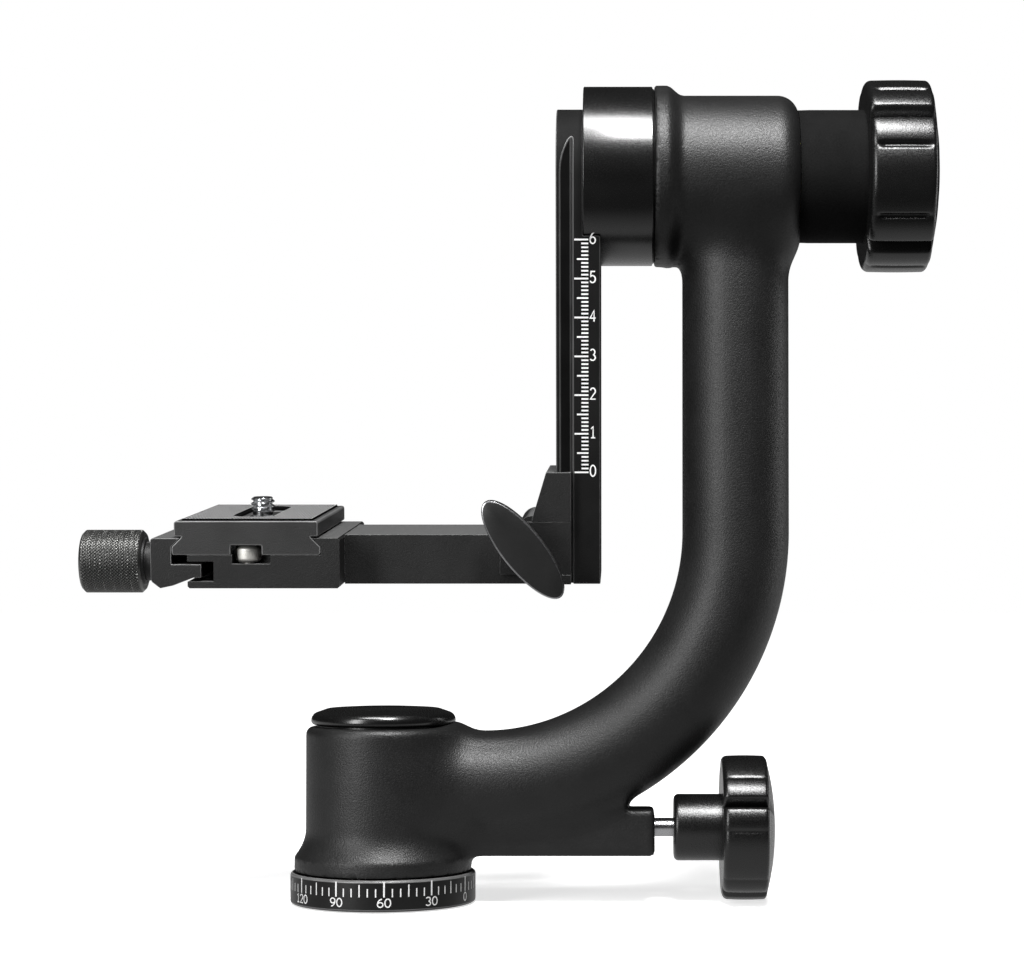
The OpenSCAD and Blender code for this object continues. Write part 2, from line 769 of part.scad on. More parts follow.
// Shoe with a hollow end that presses on the spacer.
module brake_shoe() {
    color([0.72, 0.6, 0.35])
    difference() {
        translate([0, 0, lock_z]) rod_x(spacer_r / 2, shoe_end_x, shoe_r);
        translate([0, 0, lock_z - 2 * shoe_r])
            cylinder(h = 4 * shoe_r, r = shoe_x, $fn = round_fn);
        translate([0, 0, lock_z])
            rod_x(shoe_end_x - shoe_socket, shoe_end_x + 1, lock_screw_r + run_c);
    }
}

// Steel screw through the lug, seated in the shoe and the knob.
module lock_screw() {
    color([0.75, 0.75, 0.77])
    translate([0, 0, lock_z])
        rod_x(shoe_end_x - shoe_socket, lock_knob_x + lock_screw_in, lock_screw_r);
}

module lock_hub() {
    color([0.08, 0.08, 0.09])
    translate([0, 0, lock_z]) rotate([0, 90, 0]) rotate_extrude($fn = round_fn) polygon([
        [lock_screw_r, hub_x], [hub_r - 0.7, hub_x], [hub_r, hub_x + 0.7],
        [hub_r, lock_knob_x], [lock_screw_r, lock_knob_x]]);
}

// A lobed knob on an axis along +x, with a blind bore from its left face.
module knob_on_x(x, r, t, crown, turn, valley, groove, bore_r, bore_len) {
    difference() {
        translate([x, 0, 0]) rotate([0, 90, 0]) rotate([0, 0, -90 + turn])
            lobed_knob(r, t, crown, valley, groove);
        rod_x(x - 1, x + bore_len, bore_r, round_fn);
    }
}

module lock_knob() {
    color([0.06, 0.06, 0.07])
    translate([0, 0, lock_z])
        knob_on_x(lock_knob_x, lock_knob_r, lock_knob_t, lock_crown, lock_knob_turn,
            lock_knob_valley, lock_knob_groove, lock_screw_r, lock_screw_in);
}

// ---------- swing ----------

// Gloss drum between the swing plate and the housing.
module tilt_drum() {
    edge = 0.5;
    color([0.1, 0.1, 0.11])
    swing_frame() difference() {
        rotate([0, 90, 0]) rotate_extrude($fn = round_fn) polygon([
            [shaft_r, drum_x0], [drum_r - edge, drum_x0], [drum_r, drum_x0 + edge],
            [drum_r, drum_x1 - edge], [drum_r - edge, drum_x1],
            [drum_boss_r, drum_x1], [drum_boss_r, tilt_left_x], [shaft_r, tilt_left_x]]);
        plate_screw_places() rod_x(drum_x0 - 1, plate_screw_end(), plate_screw_r);
    }
}

function plate_screw_end() = plate_x0 + plate_screw_len;

module plate_screw_places() {
    for (i = [0:3])
        rotate([45 + 90 * i, 0, 0]) translate([0, 0, plate_screw_pcr]) children();
}

// Shaft through both bearings, stepped down to its threaded end.
module tilt_shaft() {
    color([0.6, 0.61, 0.63])
    swing_frame() {
        rod_x(drum_x0, washer_x + washer_t - 0.3, shaft_r, round_fn);
        rod_x(washer_x, stud_end_x, stud_r, round_fn);
    }
}

// Plate with a dovetail down each edge and a round seat for the drum.
module swing_plate() {
    color([0.15, 0.15, 0.16])
    swing_frame() difference() {
        union() {
            rod_x(plate_x0, plate_x1, edge_u, round_fn);
            block(plate_x0, plate_x1, -edge_u, edge_u, 0, plate_len);
        }
        rod_x(drum_x0, plate_x1 + 1, drum_r + seat_gap, round_fn);
        for (side = [-1, 1])
            downwards([
                [plate_x0 + dove_lip, side * (edge_u + 0.001)],
                [plate_x0 + dove_lip - 1, side * (edge_u + 1)],
                [dove_x2, side * (edge_u + 1)],
                [dove_x2, side * (edge_u - dove_depth)],
                [dove_x1, side * (edge_u - dove_depth)]], -groove_top, plate_len + 1);
        plate_screw_places() {
            rod_x(plate_x0 - 1, plate_x1, plate_screw_r);
            rod_x(plate_x0 - 1, plate_x0 + plate_screw_head_h, plate_screw_head_r);
        }
    }
}

// Flush screws that hold the plate to the drum.
module plate_screws() {
    color([0.2, 0.2, 0.22])
    swing_frame() plate_screw_places() difference() {
        union() {
            rod_x(plate_x0 + 0.4, plate_x0 + plate_screw_head_h, plate_screw_head_r);
            rod_x(plate_x0 + 1, plate_screw_end(), plate_screw_r);
        }
        rod_x(plate_x0 - 1, plate_x0 + 1.8, plate_screw_r, 6);
    }
}

module tilt_inner_races() {
    color([0.75, 0.76, 0.78])
    swing_frame() rotate([0, 90, 0])
        race_pair(tilt_left_x, bearing_w + tilt_spacer_len, shaft_r, inner_race_r);
}

module tilt_spacer() {
    color([0.6, 0.6, 0.62])
    swing_frame() tube_x(tilt_spacer_x, tilt_right_x, shaft_r, spacer_r);
}

// ---------- tilt clamp ----------

// Matte collar between the housing and the knob.
module tilt_collar() {
    edge = 0.6;
    color([0.05, 0.05, 0.05])
    swing_frame() rotate([0, 90, 0]) rotate_extrude($fn = round_fn) polygon([
        [stud_r + run_c, collar_x], [collar_r - edge, collar_x], [collar_r, collar_x + edge],
        [collar_r, tilt_knob_x], [stud_r + run_c, tilt_knob_x]]);
}

module tilt_knob() {
    color([0.06, 0.06, 0.07])
    swing_frame() knob_on_x(tilt_knob_x, tilt_knob_r, tilt_knob_t, tilt_crown,
        tilt_knob_turn - swing_tilt, tilt_knob_valley, tilt_knob_groove, stud_r + insert_t, insert_len);
}

// Threaded steel insert in the knob.
module tilt_knob_insert() {
    color([0.7, 0.7, 0.72])
    swing_frame()
        tube_x(tilt_knob_x, tilt_knob_x + insert_len, stud_r + run_c, stud_r + insert_t);
}

// ---------- cradle ----------

// Outline of the channel round the plate's dovetail, in x and u.
function dove_channel(c) = [
    [plate_x0 - c, -edge_u - c], [plate_x0 + dove_lip + c * 0.4, -edge_u - c],
    [dove_x1 + c * 0.4, -edge_u + dove_depth - c], [dove_x1 + 2, -edge_u + dove_depth - c],
    [dove_x1 + 2, edge_u - dove_depth + c], [dove_x1 + c * 0.4, edge_u - dove_depth + c],
    [plate_x0 + dove_lip + c * 0.4, edge_u + c], [plate_x0 - c, edge_u + c]];

// The moving jaw's block, grown by a clearance.
module jaw_block(c) {
    block(jaw_block_x - c, bracket_x1 + (c > 0 ? 1 : 0), -side_u - (c > 0 ? 1 : 0),
        -side_u + jaw_depth + c, jaw_block_w0 - c, jaw_block_w1 + c);
}

// Bracket that runs on the dovetail, with the level arm that carries the clamp.
module cradle_bracket() {
    color([0.17, 0.17, 0.18])
    swing_frame() difference() {
        union() {
            across([
                [bracket_x0, bracket_top], [bracket_x1, bracket_top],
                [bracket_x1, rail_bottom], [bracket_foot_x, rail_bottom],
                [bracket_foot_x, rail_top - 4.2]], -side_u, side_u);
            block(clamp_x1, bracket_foot_x + eps, -rail_w / 2, rail_w / 2, rail_top,
                rail_bottom);
            block(clamp_x1 - rail_tongue_len, clamp_x1 + eps, -rail_tongue_u, rail_tongue_u,
                rail_bottom - rail_tongue_h, rail_bottom);
            translate([bracket_foot_x, 0, -(rail_top - 0.8)])
                rod_u(-rail_w / 2, rail_w / 2, bead_r);
        }
        downwards(dove_channel(slide_c), bracket_top - 1, rail_bottom + 1);
        jaw_block(0.15);
        translate([lever_x, 0, -lever_w])
            rod_u(-side_u - 1, -side_u + jaw_depth + lever_screw_in + 1, lever_screw_r + run_c);
        clamp_screw_places() rod_w(rail_bottom - rail_tongue_h - 1, rail_bottom + 1,
            clamp_bolt_r);
        clamp_screw_places() rod_w(rail_bottom - clamp_bolt_head_h, rail_bottom + 1,
            clamp_bolt_head_r);
    }
}

module clamp_screw_places() {
    for (side = [-1, 1])
        translate([clamp_x1 - rail_tongue_len / 2, side * rail_tongue_u * 0.6, 0]) children();
}

// Fixed body of the clamp, with its fixed jaw on the right.
module clamp_body() {
    half = clamp_len / 2;
    edge = 0.5;
    wall_x = qr_x + qr_w / 2 + slide_c * 1.2;
    color([0.17, 0.17, 0.18])
    swing_frame() difference() {
        across([
            [clamp_x0 + edge, clamp_bottom], [clamp_x0, clamp_bottom - edge],
            [clamp_x0, floor_w], [wall_x, floor_w], [wall_x, qr_flank_w],
            [qr_x + qr_neck_w / 2 + qr_step + slide_c * 1.5, rail_top],
            [clamp_x1 - edge, rail_top],
            [clamp_x1, rail_top + edge], [clamp_x1, clamp_bottom - edge],
            [clamp_x1 - edge, clamp_bottom]], -half, half);
        // Slot of the moving jaw's tongue.
        block(clamp_x0 - 1, slot_x, -half - 1, half + 1, slot_w0, slot_w1);
        // Pocket of the opening spring and bore of the screw.
        translate([0, 0, -screw_w]) {
            rod_x(clamp_x0 - 1, spring_pocket_x, spring_pocket_r);
            rod_x(clamp_x0 - 1, jaw_screw_bore_end, clamp_screw_r + run_c);
        }
        // Scoop and bore of the safety pin.
        block(qr_x - 0.35 * pin_scoop_w, qr_x + 0.6 * pin_scoop_w, -half - 1, pin_u + 0.6,
            floor_w - 1, pin_seat_w + 0.2);
        translate([qr_x, pin_u, 0]) {
            rod_w(floor_w - 1, pin_hole_w, pin_r + run_c);
        }
        // Socket of the level arm's tongue.
        block(clamp_x1 - rail_tongue_len, clamp_x1 + 1, -rail_tongue_u, rail_tongue_u,
            rail_bottom - rail_tongue_h, clamp_bottom + 1);
        clamp_screw_places() rod_w(rail_bottom - clamp_bolt_len, rail_bottom + 1,
            clamp_bolt_r);
    }
}

// Screws from below that hold the clamp on the level arm.
module clamp_screws() {
    color([0.6, 0.6, 0.62])
    swing_frame() clamp_screw_places() difference() {
        union() {
            rod_w(rail_bottom - clamp_bolt_len, rail_bottom - 0.3, clamp_bolt_r);
            rod_w(rail_bottom - clamp_bolt_head_h, rail_bottom - 0.3, clamp_bolt_head_r);
        }
        rod_w(rail_bottom - 1.2, rail_bottom + 1, clamp_bolt_r, 6);
    }
}

// Jaw behind the lever, which grips the front dovetail.
module cradle_jaw() {
    color([0.15, 0.15, 0.16])
    swing_frame() difference() {
        jaw_block(0);
        downwards(dove_channel(slide_c), jaw_block_w0 - 1, jaw_block_w1 + 1);
        translate([lever_x, 0, -lever_w])
            rod_u(-side_u - 1, -side_u + jaw_depth + 1, lever_screw_r + run_c);
    }
}

module lever_screw() {
    color([0.7, 0.7, 0.72])
    swing_frame() translate([lever_x, 0, -lever_w])
        rod_u(lever_u0 + 1, -side_u + jaw_depth + lever_screw_in, lever_screw_r);
}

// Flat oval lever on its round hub.
module oval_lever() {
    color([0.13, 0.13, 0.14])
    swing_frame() translate([lever_x, 0, -lever_w]) difference() {
        union() {
            translate([0, lever_u1, 0]) rotate([90, 0, 0]) rotate([0, 0, -lever_slope])
                linear_extrude(lever_t) scale([lever_a / lever_b, 1])
                    circle(r = lever_b, $fn = 64);
            rod_u(lever_u1 - eps, -side_u - 0.05, lever_hub_r);
        }
        rod_u(lever_u0 + 1, -side_u, lever_screw_r);
    }
}

// ---------- clamp jaw ----------

// Moving jaw with a tongue at each side of the screw.
module moving_jaw() {
    half = clamp_len / 2;
    lip_x = qr_x - qr_neck_w / 2 - slide_c * 1.5;
    color([0.17, 0.17, 0.18])
    swing_frame() difference() {
        across([
            [jaw_x0, rail_top + 0.4], [jaw_x0 + 0.4, rail_top],
            [lip_x - qr_step, rail_top], [jaw_wall_x, qr_flank_w], [jaw_wall_x, tongue_w0],
            [tongue_x, tongue_w0], [tongue_x, tongue_w1], [tongue_x - 2, tongue_w1],
            [jaw_wall_x + 0.4, tongue_w1 + 2], [jaw_x0 + 2.4, clamp_bottom],
            [jaw_x0 + 0.3, clamp_bottom - 1.6], [jaw_x0, clamp_bottom - 2.4]], -half, half);
        block(jaw_wall_x, tongue_x + 1, -tongue_u, tongue_u, floor_w, clamp_bottom + 1);
        translate([0, 0, -screw_w]) rod_x(jaw_x0 - 1, tongue_x + 1, clamp_screw_r + run_c);
    }
}

module jaw_screw() {
    color([0.7, 0.7, 0.72])
    swing_frame() translate([0, 0, -screw_w])
        rod_x(knurl_x + knurl_len / 2, jaw_screw_end, clamp_screw_r);
}

// Knurled knob with a narrow neck that bears on the jaw.
module knurled_knob() {
    edge = 0.8;
    color([0.22, 0.22, 0.23])
    swing_frame() translate([0, 0, -screw_w]) difference() {
        rotate([0, 90, 0]) rotate_extrude($fn = round_fn) polygon([
            [0, knurl_x], [knurl_r - edge, knurl_x], [knurl_r, knurl_x + edge],
            [knurl_r, neck_x - edge], [knurl_r - edge, neck_x], [knurl_r - 2, neck_x],
            [knurl_r - 2.2, neck_x - 1], [neck_r, neck_x - 1], [neck_r, jaw_x0 - 0.05],
            [0, jaw_x0 - 0.05]]);
        rod_x(knurl_x + knurl_len / 2, jaw_x0 + 1, clamp_screw_r);
    }
}

// Spring that opens the jaw, round the screw.
module jaw_spring() {
    color([0.8, 0.8, 0.82])
    swing_frame() translate([jaw_wall_x + 0.05, 0, -screw_w]) rotate([0, 90, 0])
        coil(2.8, 0.35, spring_pocket_x - jaw_wall_x - 0.1, 6);
}

// Sprung pin that stops the plate at the clamp's front end.
module safety_pin() {
    edge = 0.6;
    color([0.85, 0.85, 0.83])
    swing_frame() translate([qr_x, pin_u, 0]) mirror([0, 0, 1])
        rotate_extrude($fn = small_fn) polygon([
            [0, pin_top], [pin_r - edge, pin_top], [pin_r, pin_top + edge],
            [pin_r, pin_seat_w - edge], [pin_r - edge, pin_seat_w],
            [pin_stem_r, pin_seat_w], [pin_stem_r, pin_seat_w + 1.6],
            [0, pin_seat_w + 1.6]]);
}

module pin_spring() {
    color([0.8, 0.8, 0.82])
    swing_frame() translate([qr_x, pin_u, -pin_hole_w + 0.02])
        coil(2.3, 0.35, pin_hole_w - pin_seat_w - 0.05, 3);
}

// ---------- quick-release plate ----------

// A slot along u with round ends, from depth w0 to w1.
module slot_cut(w0, w1, r, half) {
    translate([qr_x, 0, 0]) {
        for (side = [-1, 1]) translate([0, side * half, 0]) rod_w(w0, w1, r);
        block(-r, r, -half, half, w0, w1);
    }
}

module qr_plate() {
    half = clamp_len / 2;
    edge = 0.4;
    color([0.2, 0.2, 0.21])
    swing_frame() difference() {
        across([
            [qr_x - qr_top_w / 2 + edge, qr_top], [qr_x + qr_top_w / 2 - edge, qr_top],
            [qr_x + qr_top_w / 2, qr_top + edge], [qr_x + qr_top_w / 2, qr_neck_top],
            [qr_x + qr_neck_w / 2, qr_neck_top], [qr_x + qr_w / 2, qr_flank_w],
            [qr_x + qr_w / 2, floor_w - edge], [qr_x + qr_w / 2 - edge, floor_w],
            [qr_x - qr_w / 2 + edge, floor_w], [qr_x - qr_w / 2, floor_w - edge],
            [qr_x - qr_w / 2, qr_flank_w], [qr_x - qr_neck_w / 2, qr_neck_top],
            [qr_x - qr_top_w / 2, qr_neck_top], [qr_x - qr_top_w / 2, qr_top + edge]],
            -half, half);
        block(qr_x - qr_top_w / 2 + pad_border, qr_x + qr_top_w / 2 - pad_border,
            -half + pad_border, half - pad_border, qr_top - 1, qr_top + pad_seat);
        slot_cut(qr_top - 1, floor_w + 1, slot_r, slot_half);
        slot_cut(screw_web_w, floor_w + 1, screw_head_r + 0.3, slot_half);
        block(qr_x - pin_notch_w / 2, qr_x + pin_notch_w / 2, -half - 1, 0,
            floor_w - pin_notch_h, floor_w + 1);
    }
}

// Ribbed rubber pad let into the plate's top.
module qr_pad() {
    half = clamp_len / 2;
    color([0.07, 0.07, 0.07])
    swing_frame() difference() {
        block(qr_x - qr_top_w / 2 + pad_border, qr_x + qr_top_w / 2 - pad_border,
            -half + pad_border, half - pad_border, pad_top, qr_top + pad_seat);
        slot_cut(qr_top - 2, qr_top + 2, pad_slot_r, slot_half);
    }
}

// Clip that keeps the camera screw in its slot.
module screw_clip() {
    color([0.7, 0.7, 0.72])
    swing_frame() translate([qr_x, 0, 0]) difference() {
        rod_w(screw_web_w + 0.05, screw_web_w + clip_t, clip_r);
        rod_w(screw_web_w - 1, screw_web_w + 1, camera_neck_r + run_c);
    }
}

// Camera screw, with a slotted head under the plate.
module camera_screw() {
    head_w = screw_web_w + clip_t + 0.05;
    color([0.85, 0.86, 0.88])
    swing_frame() translate([qr_x, 0, 0]) difference() {
        union() {
            rod_w(camera_tip_w, pad_top, camera_screw_r);
            rod_w(pad_top - eps, head_w + 0.5, camera_neck_r);
            rod_w(head_w, head_w + screw_head_h, screw_head_r);
        }
        block(-screw_head_r - 1, screw_head_r + 1, -0.8, 0.8, head_w + screw_head_h - 1.4,
            floor_w);
    }
}

// ---------- assembly ----------

pan_base();
tripod_bush();
pan_spindle();
base_screws();
pan_inner_races();
pan_spacer();
spindle_washer();
spindle_screw();
gimbal_arm();
pan_cap();
pan_outer_races();
pan_balls();
tilt_outer_races();
tilt_balls();
friction_washer();
brake_shoe();
lock_screw();
lock_hub();
lock_knob();
tilt_drum();
tilt_shaft();
swing_plate();
plate_screws();
tilt_inner_races();
tilt_spacer();
tilt_collar();
tilt_knob();
tilt_knob_insert();
cradle_bracket();
clamp_body();
clamp_screws();
cradle_jaw();
lever_screw();
oval_lever();
moving_jaw();
jaw_screw();
knurled_knob();
jaw_spring();
safety_pin();
pin_spring();
qr_plate();
qr_pad();
screw_clip();
camera_screw();
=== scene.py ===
"""Looks of the gimbal tripod head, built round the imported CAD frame.

Sizes are in millimetres and become metres in mesh(). The row frame has the pan axis at X = Y = 0
and +Z up. The swing has its own frame (x along the tilt axis, u across it away from the front,
-w downwards), which the matrix SWING turns into the row frame.
"""

import json
import math

import bpy
import numpy as np
from mathutils import Matrix, Vector


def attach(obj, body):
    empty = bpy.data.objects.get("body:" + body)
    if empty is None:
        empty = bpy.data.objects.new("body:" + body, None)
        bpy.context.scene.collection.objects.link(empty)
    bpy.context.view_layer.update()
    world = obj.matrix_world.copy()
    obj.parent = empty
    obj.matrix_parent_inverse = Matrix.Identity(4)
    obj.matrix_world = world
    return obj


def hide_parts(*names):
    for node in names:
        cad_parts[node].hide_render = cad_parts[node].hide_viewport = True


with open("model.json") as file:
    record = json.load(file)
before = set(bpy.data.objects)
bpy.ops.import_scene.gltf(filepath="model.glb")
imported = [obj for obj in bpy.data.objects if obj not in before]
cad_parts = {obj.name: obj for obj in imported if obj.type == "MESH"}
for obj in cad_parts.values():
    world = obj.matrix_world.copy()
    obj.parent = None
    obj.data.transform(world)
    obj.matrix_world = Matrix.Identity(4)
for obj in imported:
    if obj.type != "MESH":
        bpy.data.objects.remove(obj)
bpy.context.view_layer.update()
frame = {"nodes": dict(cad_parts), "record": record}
NODES = frame["nodes"]

MM = 0.001
TAU = 2 * math.pi

# Main sizes, which the CAD part also uses.
TILT_Z = 190.6
SWING_TILT = 6.0
UPRIGHT_X, TUBE_R, TUBE_Z, BEND_R = 92.5, 14.0, 30.6, 66.2
SLEEVE_R, SLEEVE_BOTTOM, SLEEVE_TOP = 20.2, 8.3, 45.8
FLARE_R, FLARE_FOOT, FLARE_TOP = 23.1, 12.0, 19.2
RIM_X, RIM_R, RIM_W, RIM_FLARE = 71.1, 23.7, 3.0, 4.6
HOUSING_R, HOUSING_END = 21.1, 108.9
LUG_X, LUG_T, LUG_BOTTOM, LUG_TOP, LUG_NOTCH = 71.1, 14.0, 12.3, 24.3, 7.4
LOCK_Z, HUB_X, LOCK_KNOB_X, TILT_KNOB_X = 19.3, 76.1, 88.6, 126.1
BEARING_R, BORE_R = 16.0, 12.6
PAN_SEATS, PAN_BORE = (15.5, 32.0), (14.0, 33.0)
TILT_SEATS, TILT_BORE = (80.1, 99.1), (79.0, 100.0)
LOCK_BORE_R, LOCK_BORE_START = 2.6, 12.0
QR_X, QR_TOP, PAD_TOP = -33.3, 89.0, 88.5
SCREW_W = 101.9
LEVER_PLACE, LEVER_SLOPE = (37.2, -25.0, -96.5), 51.4
PIN_PLACE = (QR_X, -25.6, -95.5)
PLATE_EDGE_U = -17.5
# The brake shoe's pocket is roomier here than in the CAD, because the net rounds its corners.
SHOE_POCKET_R, SHOE_POCKET = 3.8, (10.0, 22.7)
# A lathe outline that ends at the axis stops this far from it, and its end gets a centre point.
AXIS_R = 0.01

SWING = (Matrix.Translation((0, 0, TILT_Z * MM))
         @ Matrix.Rotation(math.radians(SWING_TILT), 4, "X"))
ALONG_X = Matrix.Rotation(math.radians(90), 4, "Y")


# ---------- building meshes ----------

def mesh(name, verts, faces, body, materials, matrix=None, stands_for=(), slot=None,
         sharp=40.0):
    """A piece from points in millimetres, which rides on a body and may stand for CAD nodes."""
    data = bpy.data.meshes.new(name)
    data.from_pydata((np.asarray(verts, float) * MM).tolist(), [], faces)
    if matrix is not None:
        data.transform(matrix)
    data.polygons.foreach_set("use_smooth", [True] * len(data.polygons))
    data.set_sharp_from_angle(angle=math.radians(sharp))
    piece = bpy.data.objects.new(name, data)
    bpy.context.scene.collection.objects.link(piece)
    for m in materials if isinstance(materials, (list, tuple)) else [materials]:
        data.materials.append(m)
    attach(piece, body)
    if stands_for:
        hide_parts(*stands_for)
    return piece


def rounded(points, steps=6):
    """An outline of (a, b) corners, where a third number rounds that corner by an arc."""
    out = []
    count = len(points)
    for i, p in enumerate(points):
        if len(p) < 3 or p[2] <= 0:
            out.append((p[0], p[1]))
            continue
        here = np.array(p[:2], float)
        back = np.array(points[i - 1][:2], float) - here
        ahead = np.array(points[(i + 1) % count][:2], float) - here
        back /= np.linalg.norm(back)
        ahead /= np.linalg.norm(ahead)
        half = math.acos(max(-1, min(1, float(back @ ahead)))) / 2
        reach = p[2] / math.tan(half)
        middle = back + ahead
        centre = here + middle / np.linalg.norm(middle) * p[2] / math.sin(half)
        start, stop = here + back * reach - centre, here + ahead * reach - centre
        a0 = math.atan2(start[1], start[0])
        turn = (math.atan2(stop[1], stop[0]) - a0 + math.pi) % TAU - math.pi
        for k in range(steps + 1):
            a = a0 + turn * k / steps
            out.append((centre[0] + p[2] * math.cos(a), centre[1] + p[2] * math.sin(a)))
    return out


def rings_to_mesh(rings, closed=False):
    """Faces that join rings of the same number of points, each ring a list of 3-D points."""
    count, size = len(rings), len(rings[0])
    verts = [p for ring in rings for p in ring]
    faces = []
    for i in range(count if closed else count - 1):
        a, b = i * size, (i + 1) % count * size
        for j in range(size):
            k = (j + 1) % size
            faces.append((a + j, a + k, b + k, b + j))
    return verts, faces


def lathe(profile, segments=160, closed=False):
    """Turns an outline of (radius, height) round the local z axis.

    A closed outline is a ring section. An open one gets a centre point at each end off the axis.
    """
    angles = [TAU * j / segments for j in range(segments)]
    rings = [[(r * math.cos(a), r * math.sin(a), z) for a in angles] for r, z in profile]
    verts, faces = rings_to_mesh(rings, closed)
    if not closed:
        for i, flip in ((0, True), (len(profile) - 1, False)):
            if profile[i][0] > 1e-6:
                verts.append((0, 0, profile[i][1]))
                c = len(verts) - 1
                for j in range(segments):
                    a, b = i * segments + j, i * segments + (j + 1) % segments
                    faces.append((c, b, a) if flip else (c, a, b))
    return verts, faces


def height_grid(radius_at, z0, z1, around, along):
    """A closed round body whose radius is radius_at(angle, z)."""
    zs = np.linspace(z0, z1, along + 1)
    angles = np.arange(around) * TAU / around
    rings = []
    for z in zs:
        r = radius_at(angles, z)
        rings.append([(r[j] * math.cos(angles[j]), r[j] * math.sin(angles[j]), z)
                      for j in range(around)])
    verts, faces = rings_to_mesh(rings)
    for z, first, flip in ((z0, 0, True), (z1, along * around, False)):
        verts.append((0, 0, z))
        c = len(verts) - 1
        for j in range(around):
            a, b = first + j, first + (j + 1) % around
            faces.append((c, b, a) if flip else (c, a, b))
    return verts, faces


def join(*parts):
    """Several (verts, faces) as one."""
    verts, faces = [], []
    for v, f in parts:
        base = len(verts)
        verts += [tuple(p) for p in v]
        faces += [tuple(i + base for i in face) for face in f]
    return verts, faces


def box_mesh(x0, x1, y0, y1, z0, z1):
    verts = [(x, y, z) for x in (x0, x1) for y in (y0, y1) for z in (z0, z1)]
    faces = [(0, 1, 3, 2), (4, 6, 7, 5), (0, 4, 5, 1), (2, 3, 7, 6), (0, 2, 6, 4), (1, 5, 7, 3)]
    return verts, faces


# ---------- materials ----------

class Look:
    """A node material, built step by step. Places come from the piece's own coordinates."""

    def __init__(self, name):
        self.material = bpy.data.materials.new(name)
        self.material.use_nodes = True
        self.tree = self.material.node_tree
        self.shader = self.tree.nodes["Principled BSDF"]
        self.place = self.node("ShaderNodeTexCoord").outputs["Object"]

    def node(self, kind, **settings):
        n = self.tree.nodes.new(kind)
        for key, value in settings.items():
            setattr(n, key, value)
        return n

    def link(self, a, b):
        self.tree.links.new(a, b)

    def noise(self, size_mm, detail=3.0, rough=0.55, stretch=(1, 1, 1)):
        n = self.node("ShaderNodeTexNoise")
        n.inputs["Scale"].default_value = 1 / (size_mm * MM)
        n.inputs["Detail"].default_value = detail
        n.inputs["Roughness"].default_value = rough
        if stretch != (1, 1, 1):
            m = self.node("ShaderNodeMapping")
            m.inputs["Scale"].default_value = stretch
            self.link(self.place, m.inputs["Vector"])
            self.link(m.outputs["Vector"], n.inputs["Vector"])
        else:
            self.link(self.place, n.inputs["Vector"])
        return n.outputs["Fac"]

    def remap(self, value, low, high, out_low, out_high):
        n = self.node("ShaderNodeMapRange")
        for key, v in (("From Min", low), ("From Max", high), ("To Min", out_low),
                       ("To Max", out_high)):
            n.inputs[key].default_value = v
        self.link(value, n.inputs["Value"])
        return n.outputs["Result"]

    def blend(self, factor, first, second):
        n = self.node("ShaderNodeMix", data_type="RGBA")
        self.link(factor, n.inputs["Factor"])
        for socket, c in ((n.inputs["A"], first), (n.inputs["B"], second)):
            if isinstance(c, tuple):
                socket.default_value = (*c, 1)
            else:
                self.link(c, socket)
        return n.outputs["Result"]

    def bump(self, height, strength, distance_mm):
        n = self.node("ShaderNodeBump")
        n.inputs["Strength"].default_value = strength
        n.inputs["Distance"].default_value = distance_mm * MM
        self.link(height, n.inputs["Height"])
        last = self.shader.inputs["Normal"]
        if last.links:
            self.link(last.links[0].from_socket, n.inputs["Normal"])
        self.link(n.outputs["Normal"], last)

    def product(self, a, b, plus=None):
        n = self.node("ShaderNodeMath", operation="MULTIPLY" if plus is None else "MULTIPLY_ADD")
        for socket, value in zip(n.inputs, (a, b, plus)):
            if value is not None:
                self.link(value, socket)
        return n.outputs[0]

    def base(self, value):
        self.set("Base Color", value)

    def set(self, name, value):
        socket = self.shader.inputs[name]
        if hasattr(value, "node"):
            self.link(value, socket)
        elif isinstance(value, tuple):
            socket.default_value = (*value, 1)
        else:
            socket.default_value = value


def grey(v):
    return (v, v, v)


def coated(name, dark, light, roughness, grain_mm, grain, specular=0.5, dust_and_top_light=0.0):
    """A black coating with a fine grain that catches the light in small points.

    Faces that look up are painted paler by this much: partly dust on them, partly painted top light.
    """
    look = Look(name)
    cloud = look.noise(9, 2)
    speck = look.noise(grain_mm, 2.5, 0.6)
    colour = look.blend(look.remap(cloud, 0.35, 0.65, 0, 1), grey(dark), grey(light))
    if dust_and_top_light:
        upward = look.node("ShaderNodeSeparateXYZ")
        look.link(look.node("ShaderNodeTexCoord").outputs["Normal"], upward.inputs[0])
        # Paler where the face looks up: dust, and painted light from above.
        faces_up = look.remap(upward.outputs["Z"], 0.9, 0.985, 0, 1)
        pale = look.blend(look.remap(speck, 0.38, 0.62, 0, 1), grey(dust_and_top_light * 0.6), grey(dust_and_top_light * 1.4))
        colour = look.blend(faces_up, colour, pale)
    look.base(colour)
    look.set("Roughness", look.remap(speck, 0.3, 0.7, roughness - 0.07, roughness + 0.08))
    look.set("Specular IOR Level", specular)
    look.bump(speck, grain, 0.12)
    return look.material


def metal(name, colour, roughness, brush_mm=0.25, stretch=(1, 1, 1), worn=0.06, bump=0.05):
    """Bare or plated metal with faint tool marks."""
    look = Look(name)
    marks = look.noise(brush_mm, 3, 0.6, stretch)
    darker = tuple(c * 0.82 for c in colour)
    look.base(look.blend(look.remap(marks, 0.3, 0.7, 0, 1), darker, colour))
    look.set("Metallic", 1.0)
    look.set("Roughness", look.remap(marks, 0.3, 0.7, roughness - worn, roughness + worn))
    look.bump(marks, bump, 0.03)
    return look.material


